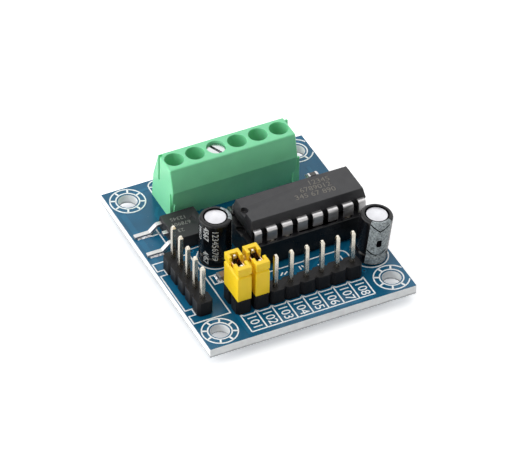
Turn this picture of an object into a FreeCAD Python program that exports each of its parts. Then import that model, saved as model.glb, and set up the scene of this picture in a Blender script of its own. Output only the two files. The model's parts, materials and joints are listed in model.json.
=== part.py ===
"""A dc motor driver module: a board with a screw terminal, a socketed driver chip, headers and jumpers."""
import FreeCAD
import Part
import math
import os

from FreeCAD import Vector

os.makedirs("parts", exist_ok=True)

# Lengths are in millimetres. X runs along the board's front edge, Y to the back, Z up.
# Z is zero at the tips of the pins below the board, and X and Y are zero at the board's middle.
# Names that end in from_left and from_front are measured from the board's left and front edges.

# Board
board_size_x = 34.0
board_size_y = 38.7
board_thickness = 1.6
pin_tail = 1.5
mounting_hole_radius = 1.5
mounting_spacing_x = 28.4
mounting_spacing_y = 32.5
mounting_from_left = 3.05
mounting_from_front = 3.15

# Solder
pad_ring = 0.5
solder_height = 0.8
solder_neck = 0.1
solder_sides = 6
foot_solder_height = 0.22
foot_solder_margin = 0.3

# Screw terminal, heights above the board, y offsets from the line of the screws
way_count = 6
way_pitch = 3.5
terminal_centre_from_left = 17.6
terminal_screws_from_front = 31.5
housing_height = 9.4
housing_front_foot = 2.35
housing_front_crease = 3.25
housing_crease_height = 5.6
housing_front_top = 2.25
housing_back_top = 2.05
housing_back_shoulder = 3.8
housing_shoulder_height = 4.6
housing_back_foot = 4.3
housing_edge_radius = 0.25
housing_end_chamfer = 0.12
well_radius = 1.5
chamber_height = 4.9
chamber_width = 2.7
chamber_front = 1.75
chamber_back = 1.75
ledge_thickness = 0.5
ledge_hole_radius = 1.05
wire_entry_width = 2.2
wire_entry_bottom = 0.4
wire_entry_height = 2.3
wire_mouth_flare = 0.3
wire_mouth_depth = 0.7
groove_width = 0.45
groove_depth = 0.6
groove_upper_offset = 1.6
groove_upper_bottom = 4.8
groove_lower_offset = 2.6
groove_lower_top = 5.1
rib_clearance = 0.06

# Terminal screws
head_clearance = 0.1
head_height = 1.4
screw_slot_width = 0.45
screw_slot_depth = 0.7
shank_radius = 0.95
hidden_sides = 8
third_screw_lift = 2.1

# Clamp cages
cage_side_clearance = 0.1
cage_wall = 0.3
cage_bottom_gap = 0.1
cage_bottom_thickness = 0.4
cage_top_thickness = 1.2
cage_front = 1.0
cage_back = 1.6
thread_clearance = 0.12

# Contact leaves
leaf_width = 1.5
leaf_thickness = 0.4
leaf_tip_gap = 0.05
leaf_under_entry_top = 0.25
leaf_reach = 1.4
leaf_leg_thickness = 0.5
leaf_pin_width = 0.9

# Driver chip and its socket, heights above the board
lead_pitch = 2.54
leads_per_row = 8
row_spacing = 7.62
chip_centre_from_left = 23.2
chip_centre_from_front = 17.9
socket_end_margin = 0.42
socket_side_margin = 1.68
socket_height = 4.3
socket_standoff = 0.35
socket_foot_length = 1.2
socket_rail_inner = 2.72
socket_end_bar = 1.6
socket_cross_bar = 2.2
socket_notch_radius = 1.0
socket_notch_depth = 0.6
socket_slot_length = 1.2
socket_slot_width = 0.74
chip_gap = 0.4
chip_end_margin = 1.12
chip_side_margin = 1.27
chip_thickness = 3.3
chip_draft_inset = 0.36
chip_notch_radius = 0.7
chip_notch_depth = 0.75
lead_thickness = 0.25
lead_shoulder_width = 1.65
lead_end_outer = 0.35
lead_blade_width = 0.46
lead_blade_length = 3.0
lead_bend_radius = 0.4
lead_bend_flats = 3
lead_root = 0.3
contact_gap = 0.02
contact_sheet = 0.15
contact_leaf_width = 1.0
contact_base_height = 0.75
contact_leaf_top_gap = 0.3
contact_tail_width = 0.45
contact_tail_thickness = 0.25
contact_tail_shortfall = 0.3

# Capacitors
capacitor_radius = 2.5
capacitor_height = 8.0
sleeve_wall = 0.3
sleeve_roof = 0.15
sleeve_opening = 1.6
shoulder_steps = 2
can_shoulder = 0.4
can_top_recess = 0.18
can_foot = 0.15
bead_height = 1.7
bead_half_width = 0.45
bead_depth = 0.25
seal_radius = 1.9
seal_thickness = 1.2
seal_recess = 0.3
capacitor_lead_radius = 0.25
wire_sides = 6
capacitor_lead_pitch = 2.0
capacitor_lead_in_seal = 0.9
left_capacitor_from_left = 9.5
left_capacitor_from_front = 18.4
left_capacitor_lift = 0.1
left_capacitor_lean = 0.0
right_capacitor_from_left = 30.8
right_capacitor_from_front = 8.95
right_capacitor_lift = 0.33
right_capacitor_lean = 5.7
capacitor_lean_heading = -26.6
seal_sides = 16

# Regulator
regulator_centre_from_left = 7.65
regulator_centre_from_front = 25.05
regulator_length = 5.9
regulator_width = 6.3
regulator_height = 2.3
regulator_draft_inset = 0.16
regulator_parting_height = 1.1
regulator_lead_spacing = 4.57
regulator_lead_width = 0.75
regulator_lead_sheet = 0.5
regulator_lead_exit_height = 1.4
regulator_lead_reach = 7.35
regulator_lead_flat = 0.7
regulator_lead_drop = 1.2
regulator_lead_skew = 0.4
regulator_lead_root = 0.8
regulator_stub_length = 0.75
regulator_tab_width = 5.3
regulator_tab_reach = 1.1
regulator_tab_inside = 4.6
regulator_dimple_radius = 0.5
regulator_dimple_depth = 0.15
regulator_dimple_x = 1.5
regulator_dimple_y = 0.45

# Pin headers
header_pitch = 2.54
header_height = 2.54
header_corner = 0.45
header_pin_side = 0.64
header_pin_height = 8.5
header_pin_point = 0.4
header_pin_point_side = 0.34
motor_pin_count = 5
motor_header_from_left = 2.68
motor_first_pin_from_front = 8.39
control_pin_count = 6
control_row_from_front = 6.3
control_first_pin_from_left = 13.62
enable_pin_count = 2
left_enable_from_left = 8.04
right_enable_from_left = 11.0

# Jumpers, heights above the header's top
jumper_width = 2.25
jumper_length = 4.78
jumper_height = 6.15
jumper_groove_height = 4.55
jumper_groove_half = 0.25
jumper_groove_depth = 0.24
jumper_valley_length = 1.4
jumper_valley_depth = 1.6
jumper_valley_fall = 0.4
jumper_window_width = 1.3
jumper_window_length = 3.2
jumper_cell_width = 1.5
jumper_cell_length = 4.1
jumper_roof_thickness = 0.8
clip_sheet = 0.14
clip_spring_gap = 0.04
clip_lift = 0.5
clip_top_gap = 0.1
clip_strap_height = 0.8

# Chip parts on the surface
chip_part_end = 0.35
front_chip_from_left = 8.75
front_chip_from_front = 13.75
front_chip_length = 2.0
front_chip_width = 1.25
front_chip_height = 0.8
rear_chip_from_left = 16.9
rear_chip_from_front = 26.9
rear_chip_length = 2.0
rear_chip_width = 1.25
rear_chip_height = 0.55
edge_chip_from_left = 31.2
edge_chip_from_front = 29.2
edge_chip_length = 1.6
edge_chip_width = 0.8
edge_chip_height = 0.45

# How far a cutting shape reaches past the face that it opens, and how finely edges are told apart
overshoot = 1.0
sliver = 0.01

# Sizes that follow from the ones above
board_bottom = pin_tail
board_top = board_bottom + board_thickness
left_edge = -board_size_x / 2
front_edge = -board_size_y / 2
screw_row = front_edge + terminal_screws_from_front
terminal_left = left_edge + terminal_centre_from_left - way_count * way_pitch / 2
terminal_right = terminal_left + way_count * way_pitch
way_places = [terminal_left + way_pitch * (way + 0.5) for way in range(way_count)]
screw_lifts = {3: third_screw_lift}
screw_seat = board_top + chamber_height + ledge_thickness
cage_base = board_top + cage_bottom_gap
leaf_top = cage_base + cage_bottom_thickness + wire_entry_height - leaf_tip_gap - leaf_under_entry_top
leaf_leg_front = screw_row - chamber_front
leaf_pin_row = leaf_leg_front + leaf_leg_thickness / 2
socket_length = leads_per_row * lead_pitch - socket_end_margin
socket_width = row_spacing + socket_side_margin
socket_window_width = row_spacing - socket_rail_inner
chip_length = leads_per_row * lead_pitch - chip_end_margin
chip_width = row_spacing - chip_side_margin
chip_x = left_edge + chip_centre_from_left
chip_y = front_edge + chip_centre_from_front
socket_top = board_top + socket_height
chip_bottom = socket_top + chip_gap
chip_top = chip_bottom + chip_thickness
chip_parting = chip_bottom + chip_thickness / 2
lead_places = [chip_x + lead_pitch * (k - (leads_per_row - 1) / 2) for k in range(leads_per_row)]
left_capacitor_y = front_edge + left_capacitor_from_front
left_capacitor = Vector(left_edge + left_capacitor_from_left, left_capacitor_y, board_top)
right_capacitor_y = front_edge + right_capacitor_from_front
right_capacitor = Vector(left_edge + right_capacitor_from_left, right_capacitor_y, board_top)
regulator_x = left_edge + regulator_centre_from_left
regulator_y = front_edge + regulator_centre_from_front
motor_x = left_edge + motor_header_from_left
motor_first_y = front_edge + motor_first_pin_from_front
motor_pins = [(motor_x, motor_first_y + header_pitch * k) for k in range(motor_pin_count)]
control_y = front_edge + control_row_from_front
control_first_x = left_edge + control_first_pin_from_left
control_pins = [(control_first_x + header_pitch * k, control_y) for k in range(control_pin_count)]
left_enable_x = left_edge + left_enable_from_left
left_enable_pins = [(left_enable_x, control_y + header_pitch * k) for k in range(enable_pin_count)]
right_enable_x = left_edge + right_enable_from_left
right_enable_pins = [(right_enable_x, control_y + header_pitch * k) for k in range(enable_pin_count)]
header_top = board_top + header_height


# Helpers

def block(x0, x1, y0, y1, z0, z1):
    """A box between two corners."""
    return Part.makeBox(x1 - x0, y1 - y0, z1 - z0, Vector(x0, y0, z0))


def centred_block(x, y, size_x, size_y, z0, z1):
    """A box whose plan is centred on x, y."""
    return block(x - size_x / 2, x + size_x / 2, y - size_y / 2, y + size_y / 2, z0, z1)


def rod(x, y, radius, z0, z1):
    """An upright cylinder."""
    return Part.makeCylinder(radius, z1 - z0, Vector(x, y, z0))


def face_of(points):
    """A flat face with straight edges."""
    return Part.Face(Part.makePolygon(points + points[:1]))


def prism_x(outline, x0, x1):
    """An outline of y, z points, drawn out along X."""
    return face_of([Vector(x0, y, z) for y, z in outline]).extrude(Vector(x1 - x0, 0, 0))


def prism_y(outline, y0, y1):
    """An outline of x, z points, drawn out along Y."""
    return face_of([Vector(x, y0, z) for x, z in outline]).extrude(Vector(0, y1 - y0, 0))


def faceted(rings):
    """A solid with flat sides through rings of points that match one by one."""
    faces = [face_of(rings[0][::-1]), face_of(rings[-1])]
    for low, high in zip(rings, rings[1:]):
        for k in range(len(low)):
            n = (k + 1) % len(low)
            faces.append(face_of([low[k], low[n], high[n], high[k]]))
    return Part.Solid(Part.Shell(faces))


def rectangle(x, y, size_x, size_y, z):
    """The corners of a level rectangle centred on x, y."""
    steps = [(-0.5, -0.5), (0.5, -0.5), (0.5, 0.5), (-0.5, 0.5)]
    return [Vector(x + size_x * dx, y + size_y * dy, z) for dx, dy in steps]


def tapered(sections):
    """A solid through level rectangles, each given as x, y, size_x, size_y, z."""
    return faceted([rectangle(*section) for section in sections])


def polygon(x, y, radius, z, sides):
    """The corners of a level regular polygon round x, y."""
    turns = [2 * math.pi * (k + 0.5) / sides for k in range(sides)]
    return [Vector(x + radius * math.cos(turn), y + radius * math.sin(turn), z) for turn in turns]


def flat_sided_rod(x, y, radius, z0, z1, sides):
    """An upright rod with flat sides, for what is round but small and out of sight."""
    return faceted([polygon(x, y, radius, z0, sides), polygon(x, y, radius, z1, sides)])


def turned(x, y, outline):
    """A solid of revolution about the upright line at x, y, from radius, z points."""
    points = [Vector(x + radius, y, z) for radius, z in outline]
    return face_of(points).revolve(Vector(x, y, 0), Vector(0, 0, 1), 360)


def joined(shapes):
    """The shapes as one solid."""
    whole = shapes[0].fuse(shapes[1:]) if len(shapes) > 1 else shapes[0]
    return whole.removeSplitter()


def save(name, shapes):
    """Writes one piece, or a group of like pieces, to its file."""
    group = shapes if isinstance(shapes, list) else [shapes]
    solids = [solid for shape in group for solid in shape.Solids]
    piece = solids[0] if len(solids) == 1 else Part.makeCompound(solids)
    piece.exportStep("parts/" + name + ".step")


# Through-hole leads

def half_diagonal(size_x, size_y):
    """The radius of the circle round a rectangular lead."""
    return math.hypot(size_x, size_y) / 2


def lead_places_and_radii():
    """Every lead that passes through the board, as x, y, and the radius of the circle round it."""
    leads = []
    pin = half_diagonal(header_pin_side, header_pin_side)
    for x, y in motor_pins + control_pins + left_enable_pins + right_enable_pins:
        leads.append((x, y, pin))
    for x in way_places:
        leads.append((x, leaf_pin_row, half_diagonal(leaf_pin_width, leaf_leg_thickness)))
    for x in lead_places:
        for side in (-1, 1):
            tail = half_diagonal(contact_tail_width, contact_tail_thickness)
            leads.append((x, chip_y + side * row_spacing / 2, tail))
    for base in (left_capacitor, right_capacitor):
        for side in (-1, 1):
            leads.append((base.x + side * capacitor_lead_pitch / 2, base.y, capacitor_lead_radius))
    return leads


# Board and solder

def circuit_board(leads):
    """The board with its mounting holes. Each soldered lead fills its own hole."""
    board = block(left_edge, -left_edge, front_edge, -front_edge, board_bottom, board_top)
    holes = []
    for step_x in (0, 1):
        for step_y in (0, 1):
            x = left_edge + mounting_from_left + step_x * mounting_spacing_x
            y = front_edge + mounting_from_front + step_y * mounting_spacing_y
            holes.append(rod(x, y, mounting_hole_radius, 0, board_top + overshoot))
    return board.cut(holes + leads)


def underside_solder(places, leads):
    """A fillet of solder round each lead under the board, shaped to the lead itself."""
    fillets = []
    for x, y, radius in places:
        low = board_bottom - solder_height
        neck = polygon(x, y, radius + solder_neck, low, solder_sides)
        foot = polygon(x, y, radius + pad_ring, board_bottom, solder_sides)
        fillet = faceted([neck, foot])
        near = [lead for lead in leads if lead.BoundBox.intersect(fillet.BoundBox)]
        fillets.append(fillet.cut(near))
    return fillets


def solder_bed(x, y, size_x, size_y):
    """A shallow sloping bed of solder round a surface foot."""
    wide = 2 * foot_solder_margin
    low = (x, y, size_x + wide, size_y + wide, board_top)
    high = (x, y, size_x, size_y, board_top + foot_solder_height)
    return tapered([low, high])


# Screw terminal

def housing_outline():
    """The moulded block's section: undercut front, sloping face, flat top, shouldered back."""
    points = [(-housing_front_foot, 0), (-housing_front_crease, housing_crease_height),
              (-housing_front_top, housing_height), (housing_back_top, housing_height),
              (housing_back_shoulder, housing_shoulder_height), (housing_back_foot, 0)]
    return [(screw_row + y, board_top + z) for y, z in points]


def softened(shape):
    """Rounds the two long top edges and breaks the edges of the two ends."""
    near_top = board_top + housing_height - sliver
    boxes = [(edge, edge.BoundBox) for edge in shape.Edges]
    long_edges = [edge for edge, box in boxes if box.ZMin > near_top and box.XLength > way_pitch]
    shape = shape.makeFillet(housing_edge_radius, long_edges)
    boxes = [(edge, edge.BoundBox) for edge in shape.Edges]
    ends = [edge for edge, box in boxes if box.XLength < sliver and box.ZMax > board_top + sliver]
    return shape.makeChamfer(housing_end_chamfer, ends)


def wire_mouth(x):
    """The flared mouth of one wire entry, open to the back."""
    back = screw_row + housing_back_foot
    low = board_top + wire_entry_bottom
    rings = []
    for y, flare in ((back - wire_mouth_depth, 0), (back + sliver, wire_mouth_flare)):
        half = wire_entry_width / 2 + flare
        high = low + wire_entry_height + flare
        rings.append([Vector(x - half, y, high), Vector(x + half, y, high),
                      Vector(x + half, y, low - flare), Vector(x - half, y, low - flare)])
    return faceted(rings)


def way_cavities(x):
    """The screw well, the neck, the cage chamber and the wire entry of one way."""
    top = board_top + housing_height
    half = wire_entry_width / 2
    low = board_top + wire_entry_bottom
    back = screw_row + housing_back_foot - wire_mouth_depth
    well = rod(x, screw_row, well_radius, screw_seat, top + overshoot)
    neck = flat_sided_rod(x, screw_row, ledge_hole_radius, screw_seat - ledge_thickness - sliver,
                          screw_seat + sliver, hidden_sides)
    chamber = block(x - chamber_width / 2, x + chamber_width / 2, screw_row - chamber_front,
                    screw_row + chamber_back, board_top - overshoot, board_top + chamber_height)
    tunnel = block(x - half, x + half, screw_row, back + sliver, low, low + wire_entry_height)
    return [well, neck, chamber, tunnel, wire_mouth(x)]


def end_grooves():
    """The two upright grooves of the left end, where a further block would hook on."""
    top = board_top + housing_height
    upper = centred_block(terminal_left, screw_row + groove_upper_offset, 2 * groove_depth, groove_width,
                          board_top + groove_upper_bottom, top + overshoot)
    lower = centred_block(terminal_left, screw_row - groove_lower_offset, 2 * groove_depth, groove_width,
                          board_top - overshoot, board_top + groove_lower_top)
    return [upper, lower]


def end_ribs():
    """The ribs of the right end, which match the left end's grooves."""
    reach = groove_depth - rib_clearance
    width = groove_width - 2 * rib_clearance
    upper = centred_block(terminal_right, screw_row + groove_upper_offset, 2 * reach, width,
                          board_top + groove_upper_bottom + rib_clearance,
                          board_top + housing_height - housing_edge_radius)
    lower = centred_block(terminal_right, screw_row - groove_lower_offset, 2 * reach, width,
                          board_top, board_top + groove_lower_top - rib_clearance)
    return [upper, lower]


def terminal_housing():
    """The green block, moulded in one piece."""
    body = softened(prism_x(housing_outline(), terminal_left, terminal_right))
    body = body.fuse(end_ribs())
    cavities = end_grooves()
    for x in way_places:
        cavities.extend(way_cavities(x))
    return body.cut(cavities)


def terminal_screw(x, lift):
    """A slotted screw whose head sits in its well, lifted by as much as it is wound out."""
    seat = screw_seat + lift
    tip = leaf_top + leaf_tip_gap + lift
    top = seat + head_height
    head = rod(x, screw_row, well_radius - head_clearance, seat, top)
    shank = flat_sided_rod(x, screw_row, shank_radius, tip, seat + head_height / 2, hidden_sides)
    slot = centred_block(x, screw_row, screw_slot_width, 2 * well_radius, top - screw_slot_depth,
                         top + overshoot)
    return joined([head, shank]).cut(slot)


def cage_height():
    """The outer height of a clamp cage."""
    return cage_bottom_thickness + cage_opening() + cage_top_thickness


def cage_opening():
    """The inner height of a cage, from its floor to just over the contact leaf."""
    return leaf_top + leaf_tip_gap - cage_base - cage_bottom_thickness


def terminal_cage(x):
    """A box-shaped clamp, open to the front and the back, with its screw hole on top."""
    outer = chamber_width - 2 * cage_side_clearance
    floor = cage_base + cage_bottom_thickness
    top = cage_base + cage_height()
    shell = block(x - outer / 2, x + outer / 2, screw_row - cage_front, screw_row + cage_back, cage_base, top)
    inner = block(x - outer / 2 + cage_wall, x + outer / 2 - cage_wall, screw_row - cage_front - overshoot,
                  screw_row + cage_back + overshoot, floor, floor + cage_opening())
    hole = flat_sided_rod(x, screw_row, shank_radius + thread_clearance, floor, top + overshoot, hidden_sides)
    return shell.cut([inner, hole])


def terminal_contact(x):
    """A bent leaf: a level tongue through the cage and a leg down through the board."""
    back = leaf_leg_front + leaf_leg_thickness
    tongue = block(x - leaf_width / 2, x + leaf_width / 2, leaf_leg_front, screw_row + leaf_reach,
                   leaf_top - leaf_thickness, leaf_top)
    leg = block(x - leaf_width / 2, x + leaf_width / 2, leaf_leg_front, back, board_top, leaf_top)
    pin = block(x - leaf_pin_width / 2, x + leaf_pin_width / 2, leaf_leg_front, back, 0, board_top)
    return joined([tongue, leg, pin])


# Driver chip and socket

def lead_strip(side, x0, x1):
    """One lead's wide part: level out of the body, round the bend and down to the socket."""
    root = chip_y + side * (chip_width / 2 - lead_root)
    far = chip_y + side * (row_spacing / 2 + lead_thickness / 2)
    high = chip_parting + lead_thickness / 2
    outer = lead_bend_radius + lead_thickness / 2
    inner = lead_bend_radius - lead_thickness / 2
    turns = [math.radians(90 * step / lead_bend_flats) for step in range(lead_bend_flats + 1)]

    def bend(radius):
        centre_y = far - side * outer
        centre_z = high - outer
        return [(centre_y + side * radius * math.sin(turn), centre_z + radius * math.cos(turn))
                for turn in turns]

    down = [(far, socket_top), (far - side * lead_thickness, socket_top)]
    outline = [(root, high)] + bend(outer) + down + bend(inner)[::-1] + [(root, high - lead_thickness)]
    return prism_x(outline, x0, x1)


def chip_lead(index, side):
    """One lead: a wide shoulder that stands on the socket and a narrow blade below it."""
    x = lead_places[index]
    left = lead_end_outer if index == 0 else lead_shoulder_width / 2
    right = lead_end_outer if index == leads_per_row - 1 else lead_shoulder_width / 2
    wide = lead_strip(side, x - left, x + right)
    y = chip_y + side * row_spacing / 2
    low = socket_top - lead_blade_length
    point = lead_blade_width
    blade = tapered([(x, y, point / 2, lead_thickness, low), (x, y, point, lead_thickness, low + point),
                     (x, y, point, lead_thickness, socket_top)])
    return joined([wide, blade])


def chip_leads(side):
    """One row of leads."""
    return [chip_lead(index, side) for index in range(leads_per_row)]


def chip_package(leads):
    """The moulded body, drafted above and below its parting line, with the index notch."""
    inset = 2 * chip_draft_inset
    small = (chip_length - inset, chip_width - inset)
    body = tapered([(chip_x, chip_y, small[0], small[1], chip_bottom),
                    (chip_x, chip_y, chip_length, chip_width, chip_parting),
                    (chip_x, chip_y, small[0], small[1], chip_top)])
    end = chip_x - small[0] / 2
    notch = rod(end, chip_y, chip_notch_radius, chip_top - chip_notch_depth, chip_top + overshoot)
    return body.cut([notch] + leads)


def socket_body():
    """Two rails with end bars, a cross bar, small feet, an index notch and a slot for each lead."""
    low = board_top + socket_standoff
    left = chip_x - socket_length / 2
    right = chip_x + socket_length / 2
    half = socket_width / 2
    body = block(left, right, chip_y - half, chip_y + half, low, socket_top)
    feet = [block(left, left + socket_foot_length, chip_y - half, chip_y + half, board_top, low),
            block(right - socket_foot_length, right, chip_y - half, chip_y + half, board_top, low)]
    body = joined([body] + feet)
    window = socket_window_width
    span = (socket_length - 2 * socket_end_bar - socket_cross_bar) / 2
    middle = socket_cross_bar / 2 + span / 2
    below = board_top - overshoot
    above = socket_top + overshoot
    cuts = [centred_block(chip_x + s * middle, chip_y, span, window, below, above) for s in (-1, 1)]
    cuts.append(rod(left, chip_y, socket_notch_radius, socket_top - socket_notch_depth, above))
    for x in lead_places:
        for side in (-1, 1):
            y = chip_y + side * row_spacing / 2
            cuts.append(centred_block(x, y, socket_slot_length, socket_slot_width, below, above))
    return body.cut(cuts)


def socket_contact(x, side):
    """A fork of sheet metal: two leaves beside the lead's blade, a base and a solder tail."""
    y = chip_y + side * row_spacing / 2
    inner = lead_thickness / 2 + contact_gap
    outer = inner + contact_sheet
    base = board_top + contact_base_height
    top = socket_top - contact_leaf_top_gap
    floor = base + contact_sheet
    outline = [(y - outer, base), (y + outer, base), (y + outer, top), (y + inner, top),
               (y + inner, floor), (y - inner, floor), (y - inner, top), (y - outer, top)]
    fork = prism_x(outline, x - contact_leaf_width / 2, x + contact_leaf_width / 2)
    tail = centred_block(x, y, contact_tail_width, contact_tail_thickness, contact_tail_shortfall, base)
    return joined([fork, tail])


def socket_contacts(side):
    """One row of contacts."""
    return [socket_contact(x, side) for x in lead_places]


# Capacitors

def capacitor_can():
    """The sealed aluminium can, slightly dished on top, with a seat for the rubber seal in its foot."""
    radius = capacitor_radius - sleeve_wall
    top = capacitor_height - sleeve_roof
    dish = top - can_top_recess
    seat = seal_recess + seal_thickness
    outline = [(0, seat), (seal_radius, seat), (seal_radius, can_foot), (radius, can_foot), (radius, top),
               (sleeve_opening + can_top_recess, top), (sleeve_opening, dish), (0, dish)]
    return turned(0, 0, outline)


def capacitor_sleeve():
    """The shrunk sleeve: open below, grooved by the can's bead, and folded over the can's rim."""
    radius = capacitor_radius
    inner = capacitor_radius - sleeve_wall
    outline = [(inner, 0), (radius, 0), (radius, bead_height - bead_half_width),
               (radius - bead_depth, bead_height), (radius, bead_height + bead_half_width)]
    for step in range(shoulder_steps + 1):
        turn = math.radians(90 * step / shoulder_steps)
        outline.append((radius - can_shoulder * (1 - math.cos(turn)),
                        capacitor_height - can_shoulder * (1 - math.sin(turn))))
    roof = capacitor_height - sleeve_roof
    outline += [(sleeve_opening, capacitor_height), (sleeve_opening, roof), (inner, roof)]
    return turned(0, 0, outline)


def tilted(shape, base, lift, lean):
    """Stands a shape on the board at base, lifted, and leaning along the capacitors' heading."""
    heading = math.radians(capacitor_lean_heading)
    axis = Vector(-math.sin(heading), math.cos(heading), 0)
    placed = shape.copy()
    placed.rotate(Vector(0, 0, 0), axis, lean)
    placed.translate(base + Vector(0, 0, lift))
    return placed


def capacitor_leads(base, lift):
    """Two upright wires, from below the board up into the seal."""
    high = base.z + lift + seal_recess + capacitor_lead_in_seal
    wires = []
    for side in (-1, 1):
        x = base.x + side * capacitor_lead_pitch / 2
        wires.append(flat_sided_rod(x, base.y, capacitor_lead_radius, contact_tail_shortfall, high,
                                    wire_sides))
    return wires


def capacitor(name, base, lift, lean):
    """Writes one capacitor's four pieces and returns its leads."""
    leads = capacitor_leads(base, lift)
    seal = tilted(flat_sided_rod(0, 0, seal_radius, seal_recess, seal_recess + seal_thickness, seal_sides),
                  base, lift, lean)
    save(name + "_can", tilted(capacitor_can(), base, lift, lean))
    save(name + "_sleeve", tilted(capacitor_sleeve(), base, lift, lean))
    save(name + "_seal", seal.cut(leads))
    save(name + "_leads", leads)
    return leads


# Regulator

def regulator_lead(side):
    """A gull-wing lead: level out of the body, sloping down, then flat on its pad."""
    sheet = regulator_lead_sheet
    body_end = regulator_x - regulator_length / 2
    root = body_end + regulator_lead_root
    bend = body_end - regulator_lead_flat
    foot = bend - regulator_lead_drop
    tip = regulator_x - regulator_lead_reach
    high = board_top + regulator_lead_exit_height + sheet / 2
    slope = sheet * regulator_lead_skew
    upper = [(root, high), (bend - slope, high), (foot - slope, board_top + sheet), (tip, board_top + sheet)]
    lower = [(tip, board_top), (foot + slope, board_top), (bend + slope, high - sheet), (root, high - sheet)]
    y = regulator_y + side * regulator_lead_spacing / 2
    return prism_y(upper + lower, y - regulator_lead_width / 2, y + regulator_lead_width / 2)


def regulator_tab():
    """The heat tab under the body, with the cut-off middle lead that grows from it."""
    sheet = regulator_lead_sheet
    far = regulator_x + regulator_length / 2 + regulator_tab_reach
    near = regulator_x + regulator_length / 2 - regulator_tab_inside
    body_end = regulator_x - regulator_length / 2
    low = board_top + regulator_lead_exit_height - sheet / 2
    half = regulator_tab_width / 2
    plate = block(near, far, regulator_y - half, regulator_y + half, board_top, board_top + sheet)
    web = centred_block(near + sheet / 2, regulator_y, sheet, regulator_lead_width, board_top, low + sheet)
    stub = block(body_end - regulator_stub_length, near + sheet, regulator_y - regulator_lead_width / 2,
                 regulator_y + regulator_lead_width / 2, low, low + sheet)
    return joined([plate, web, stub])


def regulator_package(metal):
    """The moulded body over the tab, drafted both ways, with a pin mark on top."""
    inset = 2 * regulator_draft_inset
    size_x = regulator_length
    size_y = regulator_width
    body = tapered([(regulator_x, regulator_y, size_x - inset, size_y - inset, board_top),
                    (regulator_x, regulator_y, size_x, size_y, board_top + regulator_parting_height),
                    (regulator_x, regulator_y, size_x - inset, size_y - inset, board_top + regulator_height)])
    top = board_top + regulator_height
    dimple = rod(regulator_x + regulator_dimple_x, regulator_y + regulator_dimple_y, regulator_dimple_radius,
                 top - regulator_dimple_depth, top + overshoot)
    return body.cut([dimple] + metal)


# Pin headers

def header_unit(x, y):
    """One cell of a header's plastic strip: a square with its corners cut."""
    half = header_pitch / 2
    cut = half - header_corner
    plan = [(-cut, -half), (cut, -half), (half, -cut), (half, cut), (cut, half), (-cut, half), (-half, cut),
            (-half, -cut)]
    face = face_of([Vector(x + dx, y + dy, board_top) for dx, dy in plan])
    return face.extrude(Vector(0, 0, header_height))


def header_base(places, pins):
    """The plastic strip of a header, holding its pins tightly."""
    return joined([header_unit(x, y) for x, y in places]).cut(pins)


def header_pin(x, y):
    """A square pin, pointed at both ends."""
    side = header_pin_side
    point = header_pin_point_side
    top = board_top + header_pin_height
    return tapered([(x, y, point, point, 0), (x, y, side, side, header_pin_point),
                    (x, y, side, side, top - header_pin_point), (x, y, point, point, top)])


def header(name, places):
    """Writes one header's strip and pins and returns the pins."""
    pins = [header_pin(x, y) for x, y in places]
    save(name + "_base", header_base(places, pins))
    save(name + "_pins", pins)
    return pins


# Jumpers

def jumper_groove(x, y):
    """The V-shaped groove round the jumper under its two heads, as a cutting ring."""
    size_x = jumper_width
    size_y = jumper_length
    middle = header_top + jumper_groove_height
    low = middle - jumper_groove_half
    high = middle + jumper_groove_half
    outer = centred_block(x, y, size_x + overshoot, size_y + overshoot, low, high)
    narrow = 2 * jumper_groove_depth
    core = tapered([(x, y, size_x, size_y, low), (x, y, size_x - narrow, size_y - narrow, middle),
                    (x, y, size_x, size_y, high)])
    return outer.cut(core)


def jumper_valley(x, y):
    """The valley between the two heads, whose floor falls away through the long sides, as a cutting shape."""
    top = header_top + jumper_height
    floor = top - jumper_valley_depth
    inside = jumper_cell_width / 2
    outside = jumper_width / 2
    fall = jumper_valley_fall
    slopes = [(-outside - overshoot, floor - fall), (-outside, floor - fall), (-inside, floor)]
    mirrored = [(-dx, z) for dx, z in slopes[::-1]]
    lid = [(outside + overshoot, top + overshoot), (-outside - overshoot, top + overshoot)]
    outline = [(x + dx, z) for dx, z in slopes + mirrored + lid]
    return prism_y(outline, y - jumper_valley_length / 2, y + jumper_valley_length / 2)


def jumper_cap(x, y):
    """The plastic shell: two heads with a valley between them, and a window over the pin tips."""
    top = header_top + jumper_height
    roof = top - jumper_roof_thickness
    body = centred_block(x, y, jumper_width, jumper_length, header_top, top)
    cell = centred_block(x, y, jumper_cell_width, jumper_cell_length, header_top - overshoot, roof)
    window = centred_block(x, y, jumper_window_width, jumper_window_length, roof - overshoot, top + overshoot)
    return body.cut([jumper_groove(x, y), cell, window, jumper_valley(x, y)])


def clip_side(x, y, hand):
    """One side of the contact clip, bowed inwards so that it presses on the two pins."""
    low = header_top + clip_lift
    high = header_top + jumper_height - jumper_roof_thickness - clip_top_gap
    out = jumper_cell_width / 2
    bow = header_pin_side / 2 + clip_spring_gap + clip_sheet
    middle = (low + high) / 2
    path = [(out, low), (bow, middle), (out, high)]
    inner = [(px - clip_sheet, pz) for px, pz in path]
    outline = [(x + hand * px, pz) for px, pz in path + inner[::-1]]
    half = jumper_cell_length / 2
    return prism_y(outline, y - half, y + half)


def jumper_clip(x, y):
    """The contact clip: two bowed sides joined by a strap at each end."""
    high = header_top + jumper_height - jumper_roof_thickness - clip_top_gap
    half = jumper_cell_length / 2
    straps = []
    for hand in (-1, 1):
        strap_y = y + hand * (half - clip_sheet / 2)
        straps.append(centred_block(x, strap_y, jumper_cell_width - clip_sheet, clip_sheet,
                                    high - clip_strap_height, high))
    return joined([clip_side(x, y, -1), clip_side(x, y, 1)] + straps)


# Chip parts

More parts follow.
